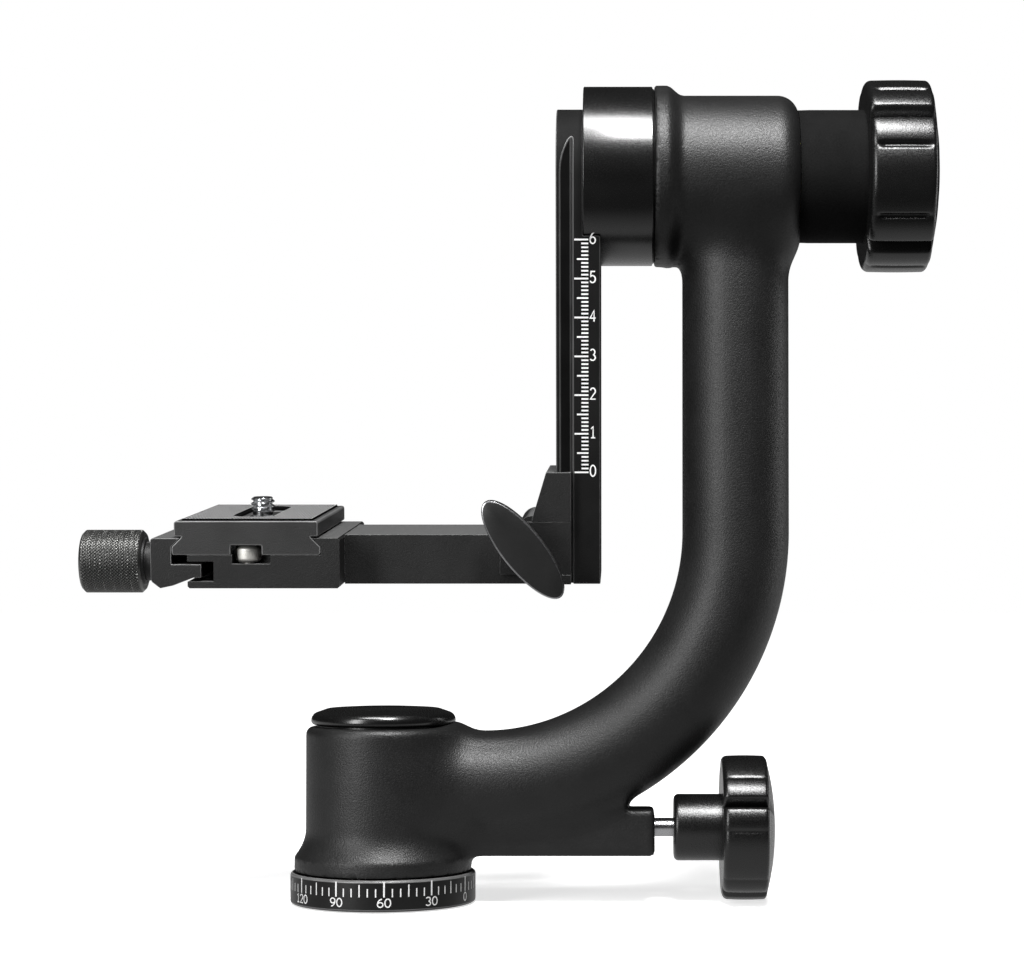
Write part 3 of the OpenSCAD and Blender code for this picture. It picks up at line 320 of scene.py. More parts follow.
cast_black = coated("cast_black", 0.006, 0.0085, 0.44, 0.42, 0.9, specular=0.42)
ring_black = coated("ring_black", 0.004, 0.0055, 0.36, 0.22, 0.18, specular=0.26)
drum_black = coated("drum_black", 0.003, 0.004, 0.23, 0.16, 0.05, specular=0.7)
anodised = coated("anodised", 0.0075, 0.010, 0.47, 0.30, 0.7, specular=0.36, dust_and_top_light=0.085)
plate_black = coated("plate_black", 0.006, 0.008, 0.65, 0.30, 0.5, specular=0.06)
plate_grey = coated("plate_grey", 0.016, 0.021, 0.46, 0.28, 0.7, specular=0.42, dust_and_top_light=0.05)
# Chamfer looks, paler than the faces: a painted edge highlight.
painted_highlight_edge = coated("painted_highlight_edge", 0.10, 0.15, 0.34, 0.3, 0.12)
painted_highlight_edge_soft = coated("painted_highlight_edge_soft", 0.035, 0.05, 0.45, 0.3, 0.12)
knob_black = coated("knob_black", 0.0035, 0.005, 0.27, 0.26, 0.34, specular=0.55)
collar_matte = coated("collar_matte", 0.004, 0.0055, 0.85, 0.40, 0.9, specular=0.08)
# The pad's rib tops are painted much paler where they look up: dust, and painted light from above.
rubber_pad = coated("rubber_pad", 0.012, 0.018, 0.55, 0.2, 0.4, specular=0.3, dust_and_top_light=0.30)
# Darker look for the pad's walls and floor: painted shade between the ribs.
pad_gap_painted_shade = coated("pad_gap_painted_shade", 0.003, 0.004, 0.85, 0.2, 0.2, specular=0.04)
knurl_grey = metal("knurl_grey", (0.17, 0.17, 0.166), 0.38, 0.15)
steel = metal("steel", (0.48, 0.48, 0.49), 0.26)
screw_black = metal("screw_black", (0.055, 0.055, 0.06), 0.34)
pin_silver = metal("pin_silver", (0.80, 0.79, 0.75), 0.55, 0.16, (3.0, 3.0, 0.4), 0.10, 0.5)
chrome = metal("chrome", (0.86, 0.87, 0.89), 0.20, 0.5, worn=0.03, bump=0.01)
bronze = metal("bronze", (0.60, 0.44, 0.22), 0.32)
lever_face = coated("lever_face", 0.008, 0.010, 0.36, 0.2, 0.10, specular=0.6)
# Pale metal for the lever's rim: a painted highlight on its chamfer.
lever_rim_painted_highlight = metal("lever_rim_painted_highlight", (0.42, 0.42, 0.43), 0.30, 0.2)


def paint_material():
    look = Look("white_paint")
    wear = look.noise(0.18, 3, 0.7)
    look.base(look.blend(look.remap(wear, 0.3, 0.62, 0, 1), grey(0.55), grey(0.86)))
    look.set("Roughness", look.remap(wear, 0.3, 0.7, 0.45, 0.65))
    look.bump(wear, 0.2, 0.03)
    return look.material


white_paint = paint_material()

SLOT_LOOKS = {
    "cast_black": cast_black, "ring_black": ring_black, "drum_black": drum_black,
    "anodised": anodised, "knob_black": knob_black, "collar_matte": collar_matte,
    "steel": steel, "chrome": chrome, "knurl_grey": knurl_grey, "rubber_pad": rubber_pad,
    "bronze": bronze,
}


# ---------- CAD nodes that are kept ----------

# Steel screws with a black finish.
BLACKENED = ("plate_screws", "base_screws", "clamp_screws")
# Node, width of the chamfer, look of the faces and look of the chamfer, painted paler as an edge
# highlight.
MACHINED = (
    ("pan_base", 0.30, ring_black, painted_highlight_edge),
    ("swing_plate", 0.30, plate_black, painted_highlight_edge_soft),
    ("cradle_bracket", 0.35, anodised, painted_highlight_edge),
    ("clamp_body", 0.35, anodised, painted_highlight_edge),
    ("cradle_jaw", 0.30, anodised, painted_highlight_edge_soft),
    ("moving_jaw", 0.35, anodised, painted_highlight_edge),
    ("qr_plate", 0.32, plate_grey, painted_highlight_edge),
)


def dress_kept_nodes():
    """Gives each CAD node the look of its slot, and real edges with a painted highlight to machined
    pieces.
    """
    slots = {s["node"]: s["material_slot"] for s in frame["record"]["subparts"]}
    for name, node in NODES.items():
        node.data.materials.clear()
        black = name in BLACKENED
        node.data.materials.append(screw_black if black else SLOT_LOOKS[slots[name]])
    for name, width, face, edge in MACHINED:
        machine_edges(NODES[name], width, face, edge)


def machine_edges(node, width, face, edge):
    """Merges the import's split corners, then cuts a chamfer painted pale as a highlight on every sharp
    edge.
    """
    data = node.data
    if "custom_normal" in data.attributes:
        data.attributes.remove(data.attributes["custom_normal"])
    data.materials.clear()
    data.materials.append(face)
    data.materials.append(edge)
    data.polygons.foreach_set("use_smooth", [True] * len(data.polygons))
    weld = node.modifiers.new("weld", "WELD")
    weld.merge_threshold = 0.004 * MM
    flat = node.modifiers.new("flat", "DECIMATE")
    flat.decimate_type = "DISSOLVE"
    flat.angle_limit = math.radians(0.6)
    bevel = node.modifiers.new("chamfer", "BEVEL")
    bevel.limit_method = "ANGLE"
    bevel.angle_limit = math.radians(32)
    bevel.width = width * MM
    bevel.segments = 2
    bevel.material = 1
    bevel.miter_outer = "MITER_ARC"
    bevel.harden_normals = False
    normals = node.modifiers.new("normals", "WEIGHTED_NORMAL")
    normals.keep_sharp = True
    normals.weight = 90


# ---------- the cast arm ----------

def smooth_union(a, b, k):
    """Either inside, with a fillet about k wide where they meet."""
    h = np.clip(0.5 + 0.5 * (b - a) / k, 0, 1)
    return b * (1 - h) + a * h - k * h * (1 - h)


def round_cut(a, b, r):
    """Both inside, with the corner between them rounded by r."""
    qa, qb = a + r, b + r
    return np.hypot(np.maximum(qa, 0), np.maximum(qb, 0)) + np.minimum(np.maximum(qa, qb), 0) - r


def ease(t):
    """From 1 down to 0 along half a cosine."""
    t = np.clip(t, 0, 1)
    return (1 + np.cos(np.pi * t)) / 2


# Fillets between the casting's parts, and the web between tube and lug.
ARM_BLEND, WEB_BLEND, LUG_EDGE = 7.0, 3.2, 1.2
WEB_TOP, WEB_FOOT, WEB_REACH = 42.0, LUG_TOP - 6, 16.0


def arm_field(p):
    """Signed distance to the casting: sleeve, bent tube, housing, web and lug, less its bores."""
    x, y, z = p[..., 0], p[..., 1], p[..., 2]
    around_pan = np.hypot(x, y)
    around_tilt = np.hypot(y, z - TILT_Z)
    around_lock = np.hypot(y, z - LOCK_Z)
    s = np.clip((z - FLARE_FOOT) / (FLARE_TOP - FLARE_FOOT), 0, 1)
    side = around_pan - (SLEEVE_R + (FLARE_R - SLEEVE_R) * (1 - s) ** 2)
    sleeve = round_cut(round_cut(side, z - SLEEVE_TOP, 2.0), SLEEVE_BOTTOM - z, 0.5)

    bend_x, bend_z = UPRIGHT_X - BEND_R, TUBE_Z + BEND_R
    off_bend = np.abs(np.hypot(x - bend_x, z - bend_z) - BEND_R)
    off_path = np.where(z > bend_z, np.abs(x - UPRIGHT_X),
                        np.where(x < bend_x, np.abs(z - TUBE_Z), off_bend))
    tube = np.hypot(off_path, y) - TUBE_R
    tube = np.maximum(tube, np.maximum(-x, z - TILT_Z))

    flare_x = RIM_X + RIM_W
    outline = HOUSING_R + (RIM_R - HOUSING_R) * ease((x - flare_x) / RIM_FLARE)
    housing = round_cut(around_tilt - outline, x - HOUSING_END, 5.5)
    housing = round_cut(housing, RIM_X - x, 0.7)

    width = np.abs(y) - LUG_T / 2
    tall = np.maximum(z - LUG_TOP, LUG_BOTTOM - z)
    lug = round_cut(round_cut(np.maximum(x - LUG_X, -x), tall, LUG_EDGE), width, LUG_EDGE)
    web = np.maximum(x - (LUG_X - LUG_NOTCH), -x)
    web = np.maximum(web, np.maximum(z - WEB_TOP, WEB_FOOT - z))
    web = round_cut(np.maximum(web, off_path - WEB_REACH), width, LUG_EDGE)

    body = smooth_union(sleeve, tube, ARM_BLEND)
    body = smooth_union(body, smooth_union(lug, web, LUG_EDGE), WEB_BLEND)
    body = smooth_union(body, housing, ARM_BLEND)

    past = 5
    bores = [
        round_bore(around_pan, z, BEARING_R, SLEEVE_BOTTOM - past, PAN_SEATS[0]),
        round_bore(around_pan, z, BORE_R, *PAN_BORE),
        round_bore(around_pan, z, BEARING_R, PAN_SEATS[1], SLEEVE_TOP + past),
        round_bore(around_tilt, x, BEARING_R, RIM_X - past, TILT_SEATS[0]),
        round_bore(around_tilt, x, BORE_R, *TILT_BORE),
        round_bore(around_tilt, x, BEARING_R, TILT_SEATS[1], HOUSING_END + past),
        round_bore(around_lock, x, SHOE_POCKET_R, *SHOE_POCKET),
        round_bore(around_lock, x, LOCK_BORE_R, LOCK_BORE_START, LUG_X + past),
    ]
    for bore in bores:
        body = np.maximum(body, -bore)
    return body


def round_bore(radial, along, r, start, stop):
    return np.maximum(radial - r, np.maximum(start - along, along - stop))


def surface_net(field, low, high, step):
    """Quads on the zero surface of a field, with every point drawn onto that surface."""
    low, high = np.array(low, float), np.array(high, float)
    counts = np.ceil((high - low) / step).astype(int) + 1
    axes = [low[i] + step * np.arange(counts[i]) for i in range(3)]
    values = np.empty(counts, np.float32)
    for i, x in enumerate(axes[0]):
        grid = np.stack(np.meshgrid([x], axes[1], axes[2], indexing="ij"), -1)
        values[i] = field(grid)[0]
    inside = values < 0
    total = sum(inside[a:a + counts[0] - 1, b:b + counts[1] - 1, c:c + counts[2] - 1].astype(int)
                for a in (0, 1) for b in (0, 1) for c in (0, 1))
    cells = np.argwhere((total > 0) & (total < 8))
    index = -np.ones(total.shape, int)
    index[tuple(cells.T)] = np.arange(len(cells))
    points = low + step * (cells + 0.5)
    for _ in range(5):
        points -= field_step(field, points)
    faces = []
    for axis in range(3):
        ahead = [slice(None)] * 3
        here = [slice(None)] * 3
        ahead[axis], here[axis] = slice(1, None), slice(None, -1)
        change = inside[tuple(here)] != inside[tuple(ahead)]
        edges = np.argwhere(change)
        side, up = (axis + 1) % 3, (axis + 2) % 3
        keep = (edges[:, side] > 0) & (edges[:, up] > 0)
        keep &= (edges[:, side] < total.shape[side]) & (edges[:, up] < total.shape[up])
        edges = edges[keep]
        flip = inside[tuple(edges.T)]
        quad = []
        for ds, du in ((1, 1), (0, 1), (0, 0), (1, 0)):
            cell = edges.copy()
            cell[:, side] -= ds
            cell[:, up] -= du
            quad.append(index[tuple(cell.T)])
        quad = np.stack(quad, 1)
        quad[~flip] = quad[~flip][:, ::-1]
        faces.append(quad)
    return points, np.concatenate(faces)


def field_step(field, points, h=0.02):
    """How far each point must move to reach the surface."""
    d = field(points)
    slope = np.stack([field(points + h * e) - field(points - h * e) for e in np.eye(3)], -1) / (2 * h)
    length = np.maximum((slope ** 2).sum(-1), 0.2)
    return np.clip(d / length, -1, 1)[:, None] * slope


def build_arm():
    step = 0.9
    low, high = (-26, -27, 6), (112, 27, 217.5)
    points, quads = surface_net(arm_field, low, high, step)
    mesh("arm_casting", points, quads.tolist(), "arm", cast_black, stands_for=["gimbal_arm"],
         slot="cast_black", sharp=50)
    r, foot, skirt_r, dish_r, dish = 18.9, 46.35, 13.4, 8.5, 50.46
    cap = rounded([(0, 48.4), (skirt_r, 48.4), (skirt_r, 42.2), (BEARING_R, 42.2),
                   (BEARING_R, SLEEVE_TOP), (17.3, SLEEVE_TOP), (17.3, foot, 0.3), (r, foot, 0.9),
                   (r, 49.0, 2.2), (14.6, 50.5, 3.0), (9.4, 50.8, 1.2), (dish_r, dish, 0.6),
                   (2 * AXIS_R, dish)])
    mesh("bearing_cap", *lathe(cap), "arm", drum_black, stands_for=["pan_cap"],
         slot="drum_black")


# ---------- lobed knobs ----------

# The lobes' form: angles in degrees from the middle of a lobe, bulges as shares of the radius.
VALLEY_ANGLE, VALLEY_HALF = 45, 6.0
GROOVE_ANGLE, GROOVE_HALF, GROOVE_ENDS = 21.8, 2.6, 1.6
OUTER_ANGLE, OUTER_HALF = 31, 12
MIDDLE_BULGE, OUTER_BULGE, WAIST = 0.018, 0.032, -0.10


def dip(angle, centre, half, depth):
    """A soft groove."""
    t = np.clip(np.abs((angle - centre) / half), 0, 1)
    return depth * (1 - t * t) ** 2


def cusp(angle, centre, half, depth):
    """A valley with a sharp bottom."""
    return depth * (1 - np.clip(np.abs((angle - centre) / half), 0, 1)) ** 2


def lobed_knob(r, t, valley, groove, back_edge, front_edge, crown):
    """Four rounded lobes with sharp valleys, two grooves down each lobe and a domed face."""
    around = 432
    degrees = np.arange(around) * 360 / around
    s = np.abs((degrees + VALLEY_ANGLE) % (2 * VALLEY_ANGLE) - VALLEY_ANGLE)
    valleys = cusp(s, VALLEY_ANGLE, VALLEY_HALF, valley)
    middle = np.clip(s / GROOVE_ANGLE, 0, 1)
    outer = np.clip(np.abs((s - OUTER_ANGLE) / OUTER_HALF), 0, 1)
    bulge = r * np.where(s < GROOVE_ANGLE, MIDDLE_BULGE * middle ** 2, OUTER_BULGE * outer ** 2)
    grooves = dip(s, GROOVE_ANGLE, GROOVE_HALF, groove)
    rim_z = t - crown
    back_middle, face_middle = r * 0.92, r * 0.94
    # Each ring is (how far it stands in from r, z, how much of the grooves it has).
    section = [(back_middle, 0.0, 0.0), (back_edge * 1.4, 0.0, 0.0)]
    for k in range(8):
        a = math.pi / 2 * k / 7
        section.append((back_edge * (1 - math.sin(a)), back_edge * (1 - math.cos(a)), 0.0))
    sides = 14
    for k in range(1, sides):
        f = k / sides
        z = back_edge + (rim_z - front_edge[1] - back_edge) * f
        near_end = min(z - GROOVE_ENDS, rim_z - GROOVE_ENDS - z)
        cut = max(0.0, min(1.0, near_end / 1.2 + 0.5))
        section.append((WAIST * math.sin(math.pi * f), z, cut))
    for k in range(9):
        a = math.pi / 2 * k / 8
        section.append((front_edge[0] * (1 - math.cos(a)),
                        rim_z - front_edge[1] * (1 - math.sin(a)), 0.0))
    for k in range(1, 10):
        f = k / 9
        section.append((front_edge[0] + (face_middle - front_edge[0]) * f,
                        t - crown * (1 - f) ** 2, 0.0))
    # The valleys fade out over half the radius, from this far in.
    fade_start = 3.0
    rings = []
    for inset, z, cut in section:
        towards = min(1.0, max(0.0, (inset - fade_start) / (r * 0.5)))
        reach = (valleys + bulge) * (1 - towards) + grooves * cut
        radius = np.maximum(r - inset - reach, 2 * AXIS_R)
        a = np.radians(degrees)
        rings.append(list(zip(radius * np.cos(a), radius * np.sin(a), [z] * around)))
    verts, faces = rings_to_mesh(rings)
    for first, flip in ((0, True), ((len(rings) - 1) * around, False)):
        ring = list(range(first, first + around))
        faces.append(tuple(ring[::-1] if flip else ring))
    return verts, faces


def knob_place(x, height, turn, swing):
    """Stands a knob on the axis at x, with a lobe turned this far from the side near the camera."""
    near_lobe = Matrix.Rotation(math.radians(-90 + turn), 4, "Z")
    place = Matrix.Translation((x * MM, 0, height * MM)) @ ALONG_X @ near_lobe
    return SWING @ place if swing else place


def build_knobs():
    lock = lobed_knob(18.8, 14.0, valley=3.4, groove=0.14, back_edge=1.6, front_edge=(1.3, 1.1),
                      crown=2.2)
    mesh("lock_knob_grip", *lock, "pan_lock", knob_black,
         knob_place(LOCK_KNOB_X, LOCK_Z, 20, False), ["lock_knob"], "knob_black", 55)
    tilt = lobed_knob(25.0, 19.4, valley=4.4, groove=0.75, back_edge=1.8, front_edge=(1.6, 1.3),
                      crown=2.4)
    mesh("tilt_knob_grip", *tilt, "tilt_lock", knob_black,
         knob_place(TILT_KNOB_X, 0, 12 - SWING_TILT, True), ["tilt_knob"], "knob_black", 55)
    bore_r, hub_r, length = 2.45, 8.7, LOCK_KNOB_X - HUB_X
    hub = rounded([(bore_r, 0), (hub_r, 0, 1.3), (hub_r, length), (bore_r, length)])
    mesh("lock_knob_hub", *lathe(hub, 96, closed=True), "pan_lock", knob_black,
         Matrix.Translation((HUB_X * MM, 0, LOCK_Z * MM)) @ ALONG_X, ["lock_hub"], "knob_black")
    bore_r, washer_r, collar_r, face = 5.05, 16.3, 17.4, HOUSING_END + 0.3
    collar = rounded([(bore_r, face), (washer_r, face), (washer_r - 0.1, face - 0.23),
                      (collar_r - 0.1, face - 0.47), (collar_r, face + 2.8, 4.0),
                      (collar_r, TILT_KNOB_X), (bore_r, TILT_KNOB_X)])
    mesh("friction_collar", *lathe(collar, 160, closed=True), "tilt_ring", collar_matte,
         SWING @ ALONG_X, ["tilt_collar"], "collar_matte")


# ---------- drum and turned pieces ----------

def build_turned():
    bore_r, neck_r, r = 9.0, 11.2, 23.4
    back, lip, front, neck_end = 52.5, 70.55, 70.98, 74.1
    drum = rounded([(bore_r, back), (r, back, 0.35), (r, lip, 0.25), (r - 0.5, lip + 0.05),
                    (r - 0.7, front), (neck_r, front), (neck_r, neck_end), (bore_r, neck_end)])
    mesh("swing_drum", *lathe(drum, 192, closed=True), "swing", drum_black, SWING @ ALONG_X,
         ["tilt_drum"], "drum_black")
    stem_r, face_r, r = 1.4, 2.6, 3.4
    height, stem_end, slope = 4.3, 5.9, 0.75
    pin = rounded([(AXIS_R, 0), (face_r, 0, 0.3), (r, slope, 0.9), (r, height - slope, 0.9),
                   (face_r, height, 0.3), (stem_r, height), (stem_r, stem_end),
                   (AXIS_R, stem_end)])
    place = SWING @ Matrix.Translation(Vector(PIN_PLACE) * MM) @ Matrix.Rotation(math.pi, 4, "X")
    mesh("safety_pin_body", *lathe(pin, 96), "pin", pin_silver, place, ["safety_pin"], "steel")


def knurl(r, z0, z1, teeth, depth):
    """A round grip with raised diamonds and chamfered, plain ends."""
    around = teeth * 9
    along = 150
    slant = teeth / TAU / r

    def radius_at(a, z):
        one = np.abs((a * teeth / TAU + z * slant) % 1 - 0.5) * 2
        two = np.abs((a * teeth / TAU - z * slant) % 1 - 0.5) * 2
        height = np.minimum(np.minimum(one, two) * 2.6, 1) * depth
        from_end = min(z - z0, z1 - z)
        chamfer = max(0.0, 0.8 - from_end)
        return np.minimum(r - depth + height, r - chamfer)
    return height_grid(radius_at, z0, z1, around, along)


def build_grip():
    knob_x, length, ring_end, neck_end = -81.2, 16.3, 16.9, 23.45
    bore_r, neck_r, ring_r = 2.0, 5.2, 6.3
    neck = rounded([(bore_r, length - 1.1), (ring_r, length - 1.1), (ring_r, length, 0.3),
                    (ring_r - 0.2, ring_end, 0.3), (neck_r, ring_end), (neck_r, neck_end),
                    (bore_r, neck_end)])
    place = SWING @ Matrix.Translation((knob_x * MM, 0, -SCREW_W * MM)) @ ALONG_X
    grip = knurl(8.4, 0, length, teeth=58, depth=0.42)
    piece = mesh("clamp_grip", *join(grip, lathe(neck, 96, closed=True)), "clamp_knob",
                 [knurl_grey, anodised], place, ["knurled_knob"], "knurl_grey", 25)
    dark = [0 if i < len(grip[1]) else 1 for i in range(len(piece.data.polygons))]
    piece.data.polygons.foreach_set("material_index", dark)


# ---------- threads ----------

def thread_body(r, pitch, depth, z0, z1, dome):
    """A right-hand outside thread along +z, whose last stretch narrows to a dome."""
    around = 96
    along = int((z1 - z0) / pitch * 14)

    def radius_at(a, z):
        wave = np.abs((z / pitch - a / TAU) % 1 - 0.5) * 2
        cut = depth * np.clip((wave - 0.12) * 1.35, 0, 1)
        tip = max(0.0, (z - (z1 - dome)) / dome)
        return (r - cut * (1 - tip)) * (1 - 0.28 * tip * tip)
    return height_grid(radius_at, z0, z1, around, along)


def build_camera_screw():
    place = SWING @ Matrix.Translation((QR_X * MM, 0, -QR_TOP * MM))
    thread_r, pitch = 3.175, 1.27
    neck_r, head_r, socket_r = thread_r - 0.5, 6.4, 2.0
    head_top, head_bottom, socket_floor = -5.05, -7.95, -6.6
    rod = thread_body(thread_r, pitch, depth=0.72, z0=0.5, z1=4.4, dome=0.9)
    neck = lathe([(neck_r, 0.51), (neck_r, head_top - 0.15)], 64)
    head = rounded([(socket_r, head_top), (head_r, head_top, 0.3), (head_r, head_bottom, 0.4),
                    (socket_r, head_bottom)])
    head = lathe(head[::-1], 96, closed=True)
    core = lathe([(socket_r + 0.1, head_top), (socket_r + 0.1, socket_floor)], 32)
    mesh("camera_thread", *join(rod, neck, head, core), "stud", chrome, place,
         ["camera_screw"], "chrome", 30)


# ---------- ribbed pad ----------

# How many faces rib_mesh gives, and which of them is the top.
RIB_FACES, RIB_TOP_FACE = 5, 2


def build_pad():
    """A rubber pad of narrow ribs, with a long slot for the camera screw and painted shade between the
    ribs.
    """
    half_x, half_u = 16.75, 28.4
    pitch, rib = 0.76, 0.50
    slot_r, slot_half = 4.6, 15.475
    bottom, floor, top = -QR_TOP - 0.7, -PAD_TOP - 0.45, -PAD_TOP
    end_gap = 0.3
    parts = []
    count = int(2 * half_x / pitch)
    first = -count * pitch / 2

    def spans(x0, x1, grow=0.0):
        """Where the pad stands along u between x0 and x1: in one piece, or before and past the slot."""
        near = min(abs(x0), abs(x1)) if x0 * x1 > 0 else 0
        r = slot_r + grow
        if near >= r:
            return [(-half_u, half_u)]
        reach = slot_half + math.sqrt(r * r - near * near)
        return [(-half_u, -reach), (reach, half_u)]

    cells = count * 2
    floor_faces = 0
    for i in range(cells):
        x0 = -half_x + 2 * half_x * i / cells
        x1 = -half_x + 2 * half_x * (i + 1) / cells
        for u0, u1 in spans(x0, x1):
            parts.append(box_mesh(x0, x1, u0, u1, bottom, floor))
            floor_faces += len(parts[-1][1])
    for i in range(count):
        c = first + (i + 0.5) * pitch
        for u0, u1 in spans(c - rib / 2, c + rib / 2, 0.25):
            parts.append(rib_mesh(c, rib, u0 + end_gap, u1 - end_gap, floor - 0.05, top))
    verts, faces = join(*parts)
    verts = [(x + QR_X, u, z) for x, u, z in verts]
    pad = mesh("ribbed_pad", verts, faces, "plate", [rubber_pad, pad_gap_painted_shade], SWING, ["qr_pad"],
               "rubber_pad")
    # Rib tops keep the rubber look; walls and floor between the ribs get the darker look, painted
    # shade.
    rib_tops = range(floor_faces + RIB_TOP_FACE, len(faces), RIB_FACES)
    pad.data.polygons.foreach_set("material_index",
                                  [0 if i in rib_tops else 1 for i in range(len(faces))])


def rib_mesh(c, width, u0, u1, low, high):
    """One rib along u, with sloping sides."""
    a, b = width / 2, width / 2 - 0.06
    verts = [(c - a, u0, low), (c + a, u0, low), (c + b, u0 + 0.1, high), (c - b, u0 + 0.1, high),
             (c - a, u1, low), (c + a, u1, low), (c + b, u1 - 0.1, high), (c - b, u1 - 0.1, high)]
    faces = [(0, 1, 2, 3), (5, 4, 7, 6), (3, 2, 6, 7), (1, 5, 6, 2), (4, 0, 3, 7)]
    return verts, faces


# ---------- oval lever ----------

def build_lever():
    """A flat oval blade whose rim is painted bright as a highlight, on a round hub."""
    around, steps = 160, 12
    a, b, t = 15.6, 5.4, 3.4
    edge, dome, rim_rings = 0.45, 0.5, (3, 4)
    rings = []
    section = [(0.9, 0.0), (edge, 0.0), (0.0, edge), (0.0, t - edge), (0.22, t - 0.1), (edge, t)]
    for k in range(1, steps + 1):
        f = k / steps
        section.append((edge + (b - 0.1 - edge) * f, t + dome * (1 - (1 - f) ** 2)))
    for inset, z in section:
        rings.append([((a - inset) * math.cos(TAU * j / around),
                       (b - inset) * math.sin(TAU * j / around), z) for j in range(around)])
    verts, faces = rings_to_mesh(rings)
    # The rim rings get the pale metal look, a painted highlight.
    bright = [1 if i // around in rim_rings else 0 for i in range(len(faces))]
    faces.append(tuple(range(around))[::-1])
    faces.append(tuple(range((len(rings) - 1) * around, len(rings) * around)))
    bright += [0, 0]
    slope = Matrix.Rotation(math.radians(-LEVER_SLOPE), 4, "Z")
    place = (SWING @ Matrix.Translation(Vector(LEVER_PLACE) * MM)
             @ Matrix.Rotation(math.radians(90), 4, "X") @ slope)
    blade = mesh("lever_blade", verts, faces, "rail_lever", [lever_face, lever_rim_painted_highlight], place,
                 ["oval_lever"], "anodised", 30)
    blade.data.polygons.foreach_set("material_index", bright)
    bore_r, hub_r, length, sunk = 2.0, 4.6, 4.95, 0.01
    hub = rounded([(bore_r, 0.0), (hub_r, 0.0), (hub_r, length, 0.3), (bore_r, length)])
    place = (SWING @ Matrix.Translation((Vector(LEVER_PLACE) - Vector((0, sunk, 0))) * MM)
             @ Matrix.Rotation(math.radians(-90), 4, "X"))
    mesh("lever_hub", *lathe(hub, 64, closed=True), "rail_lever", anodised, place,
         slot="anodised")


# ---------- white marks ----------

def arc_points(cx, cy, rx, ry, a0, a1, steps=10):
    return [(cx + rx * math.cos(math.radians(a0 + (a1 - a0) * k / steps)),
             cy + ry * math.sin(math.radians(a0 + (a1 - a0) * k / steps))) for k in range(steps + 1)]


# Each digit as strokes in a box 0.6 wide and 1 high.
DIGITS = {
    "0": [arc_points(0.3, 0.5, 0.26, 0.46, 0, 360, 24)],
    "1": [[(0.12, 0.78), (0.32, 0.96), (0.32, 0.04)], [(0.12, 0.04), (0.52, 0.04)]],
    "2": [arc_points(0.3, 0.7, 0.24, 0.26, 165, -25, 12) + [(0.06, 0.04), (0.56, 0.04)]],
    "3": [arc_points(0.28, 0.73, 0.22, 0.23, 150, -80, 12),
          arc_points(0.28, 0.27, 0.26, 0.23, 80, -150, 12)],
    "4": [[(0.42, 0.04), (0.42, 0.96), (0.04, 0.32), (0.58, 0.32)]],
    "5": [[(0.52, 0.96), (0.14, 0.96), (0.10, 0.55)]
          + arc_points(0.28, 0.33, 0.27, 0.29, 125, -150, 14)],
    "6": [arc_points(0.3, 0.31, 0.25, 0.27, 0, 360, 20),
          arc_points(0.56, 0.31, 0.51, 0.66, 180, 100, 10)],
    "7": [[(0.06, 0.96), (0.56, 0.96), (0.24, 0.04)]],
    "8": [arc_points(0.3, 0.73, 0.21, 0.23, 0, 360, 18),
          arc_points(0.3, 0.27, 0.26, 0.23, 0, 360, 18)],
    "9": [arc_points(0.3, 0.69, 0.25, 0.27, 0, 360, 20),
          arc_points(0.04, 0.69, 0.51, 0.66, 0, -80, 10)],
}


def stroke(points, width):
    """A flat ribbon of an even width along points in a plane, with mitred turns."""
    verts, faces = [], []
    pts = [np.array(p, float) for p in points]
    ring = np.linalg.norm(pts[0] - pts[-1]) < 1e-6
    n = len(pts)
    for i, p in enumerate(pts):
        before = pts[i - 1] if i else (pts[-2] if ring else p)
        after = pts[i + 1] if i < n - 1 else (pts[1] if ring else p)
        d = [v / max(np.linalg.norm(v), 1e-9) for v in (p - before, after - p)]
        along = d[0] + d[1]
        along /= max(np.linalg.norm(along), 1e-9)
        normal = np.array((-along[1], along[0]))
        first = d[1] if np.linalg.norm(d[0]) < 0.5 else d[0]
        spread = min(1.6, 1 / max(0.5, abs(first @ along)))
        verts += [p + normal * width / 2 * spread, p - normal * width / 2 * spread]
        if i:
            faces.append((2 * i - 2, 2 * i - 1, 2 * i + 1, 2 * i))
    return [tuple(v) for v in verts], faces


def number(text, x, y, height, width, line_width):
    """Digits centred on (x, y) in a plane."""
    parts = []
    pitch = width * 1.16
    start = x - (pitch * (len(text) - 1) + width) / 2
    for i, ch in enumerate(text):
        for line in DIGITS[ch]:
            pts = [(start + i * pitch + p[0] / 0.6 * width, y + (p[1] - 0.5) * height)
                   for p in line]
            parts.append(stroke(pts, line_width))
    return join(*parts)


def bar(x0, x1, y0, y1):
    return [(x0, y0), (x0, y1), (x1, y0), (x1, y1)], [(0, 2, 3, 1)]


def build_ruler():
    """The centimetre scale on the plate's near edge, 0 at the foot and 6 at the top."""
    zero_w, lift, half = 77.2, 0.02, 0.21
    long_x, middle_x, short_x, right_x, digit_x = 50.3, 50.95, 52.1, 53.9, 55.05
    parts = []
    for mm in range(61):
        left = long_x if mm % 10 == 0 else middle_x if mm % 5 == 0 else short_x
        z = -(zero_w - mm)
        parts.append(bar(left, right_x, z - half, z + half))
        if mm % 10 == 0:
            parts.append(number(str(mm // 10), digit_x, z + 0.4, height=3.1, width=1.6,
                                line_width=0.33))
    verts, faces = join(*parts)
    verts = [(x, PLATE_EDGE_U - lift, z) for x, z in verts]
    mesh("ruler_marks", verts, faces, "swing", white_paint, SWING, slot="anodised")


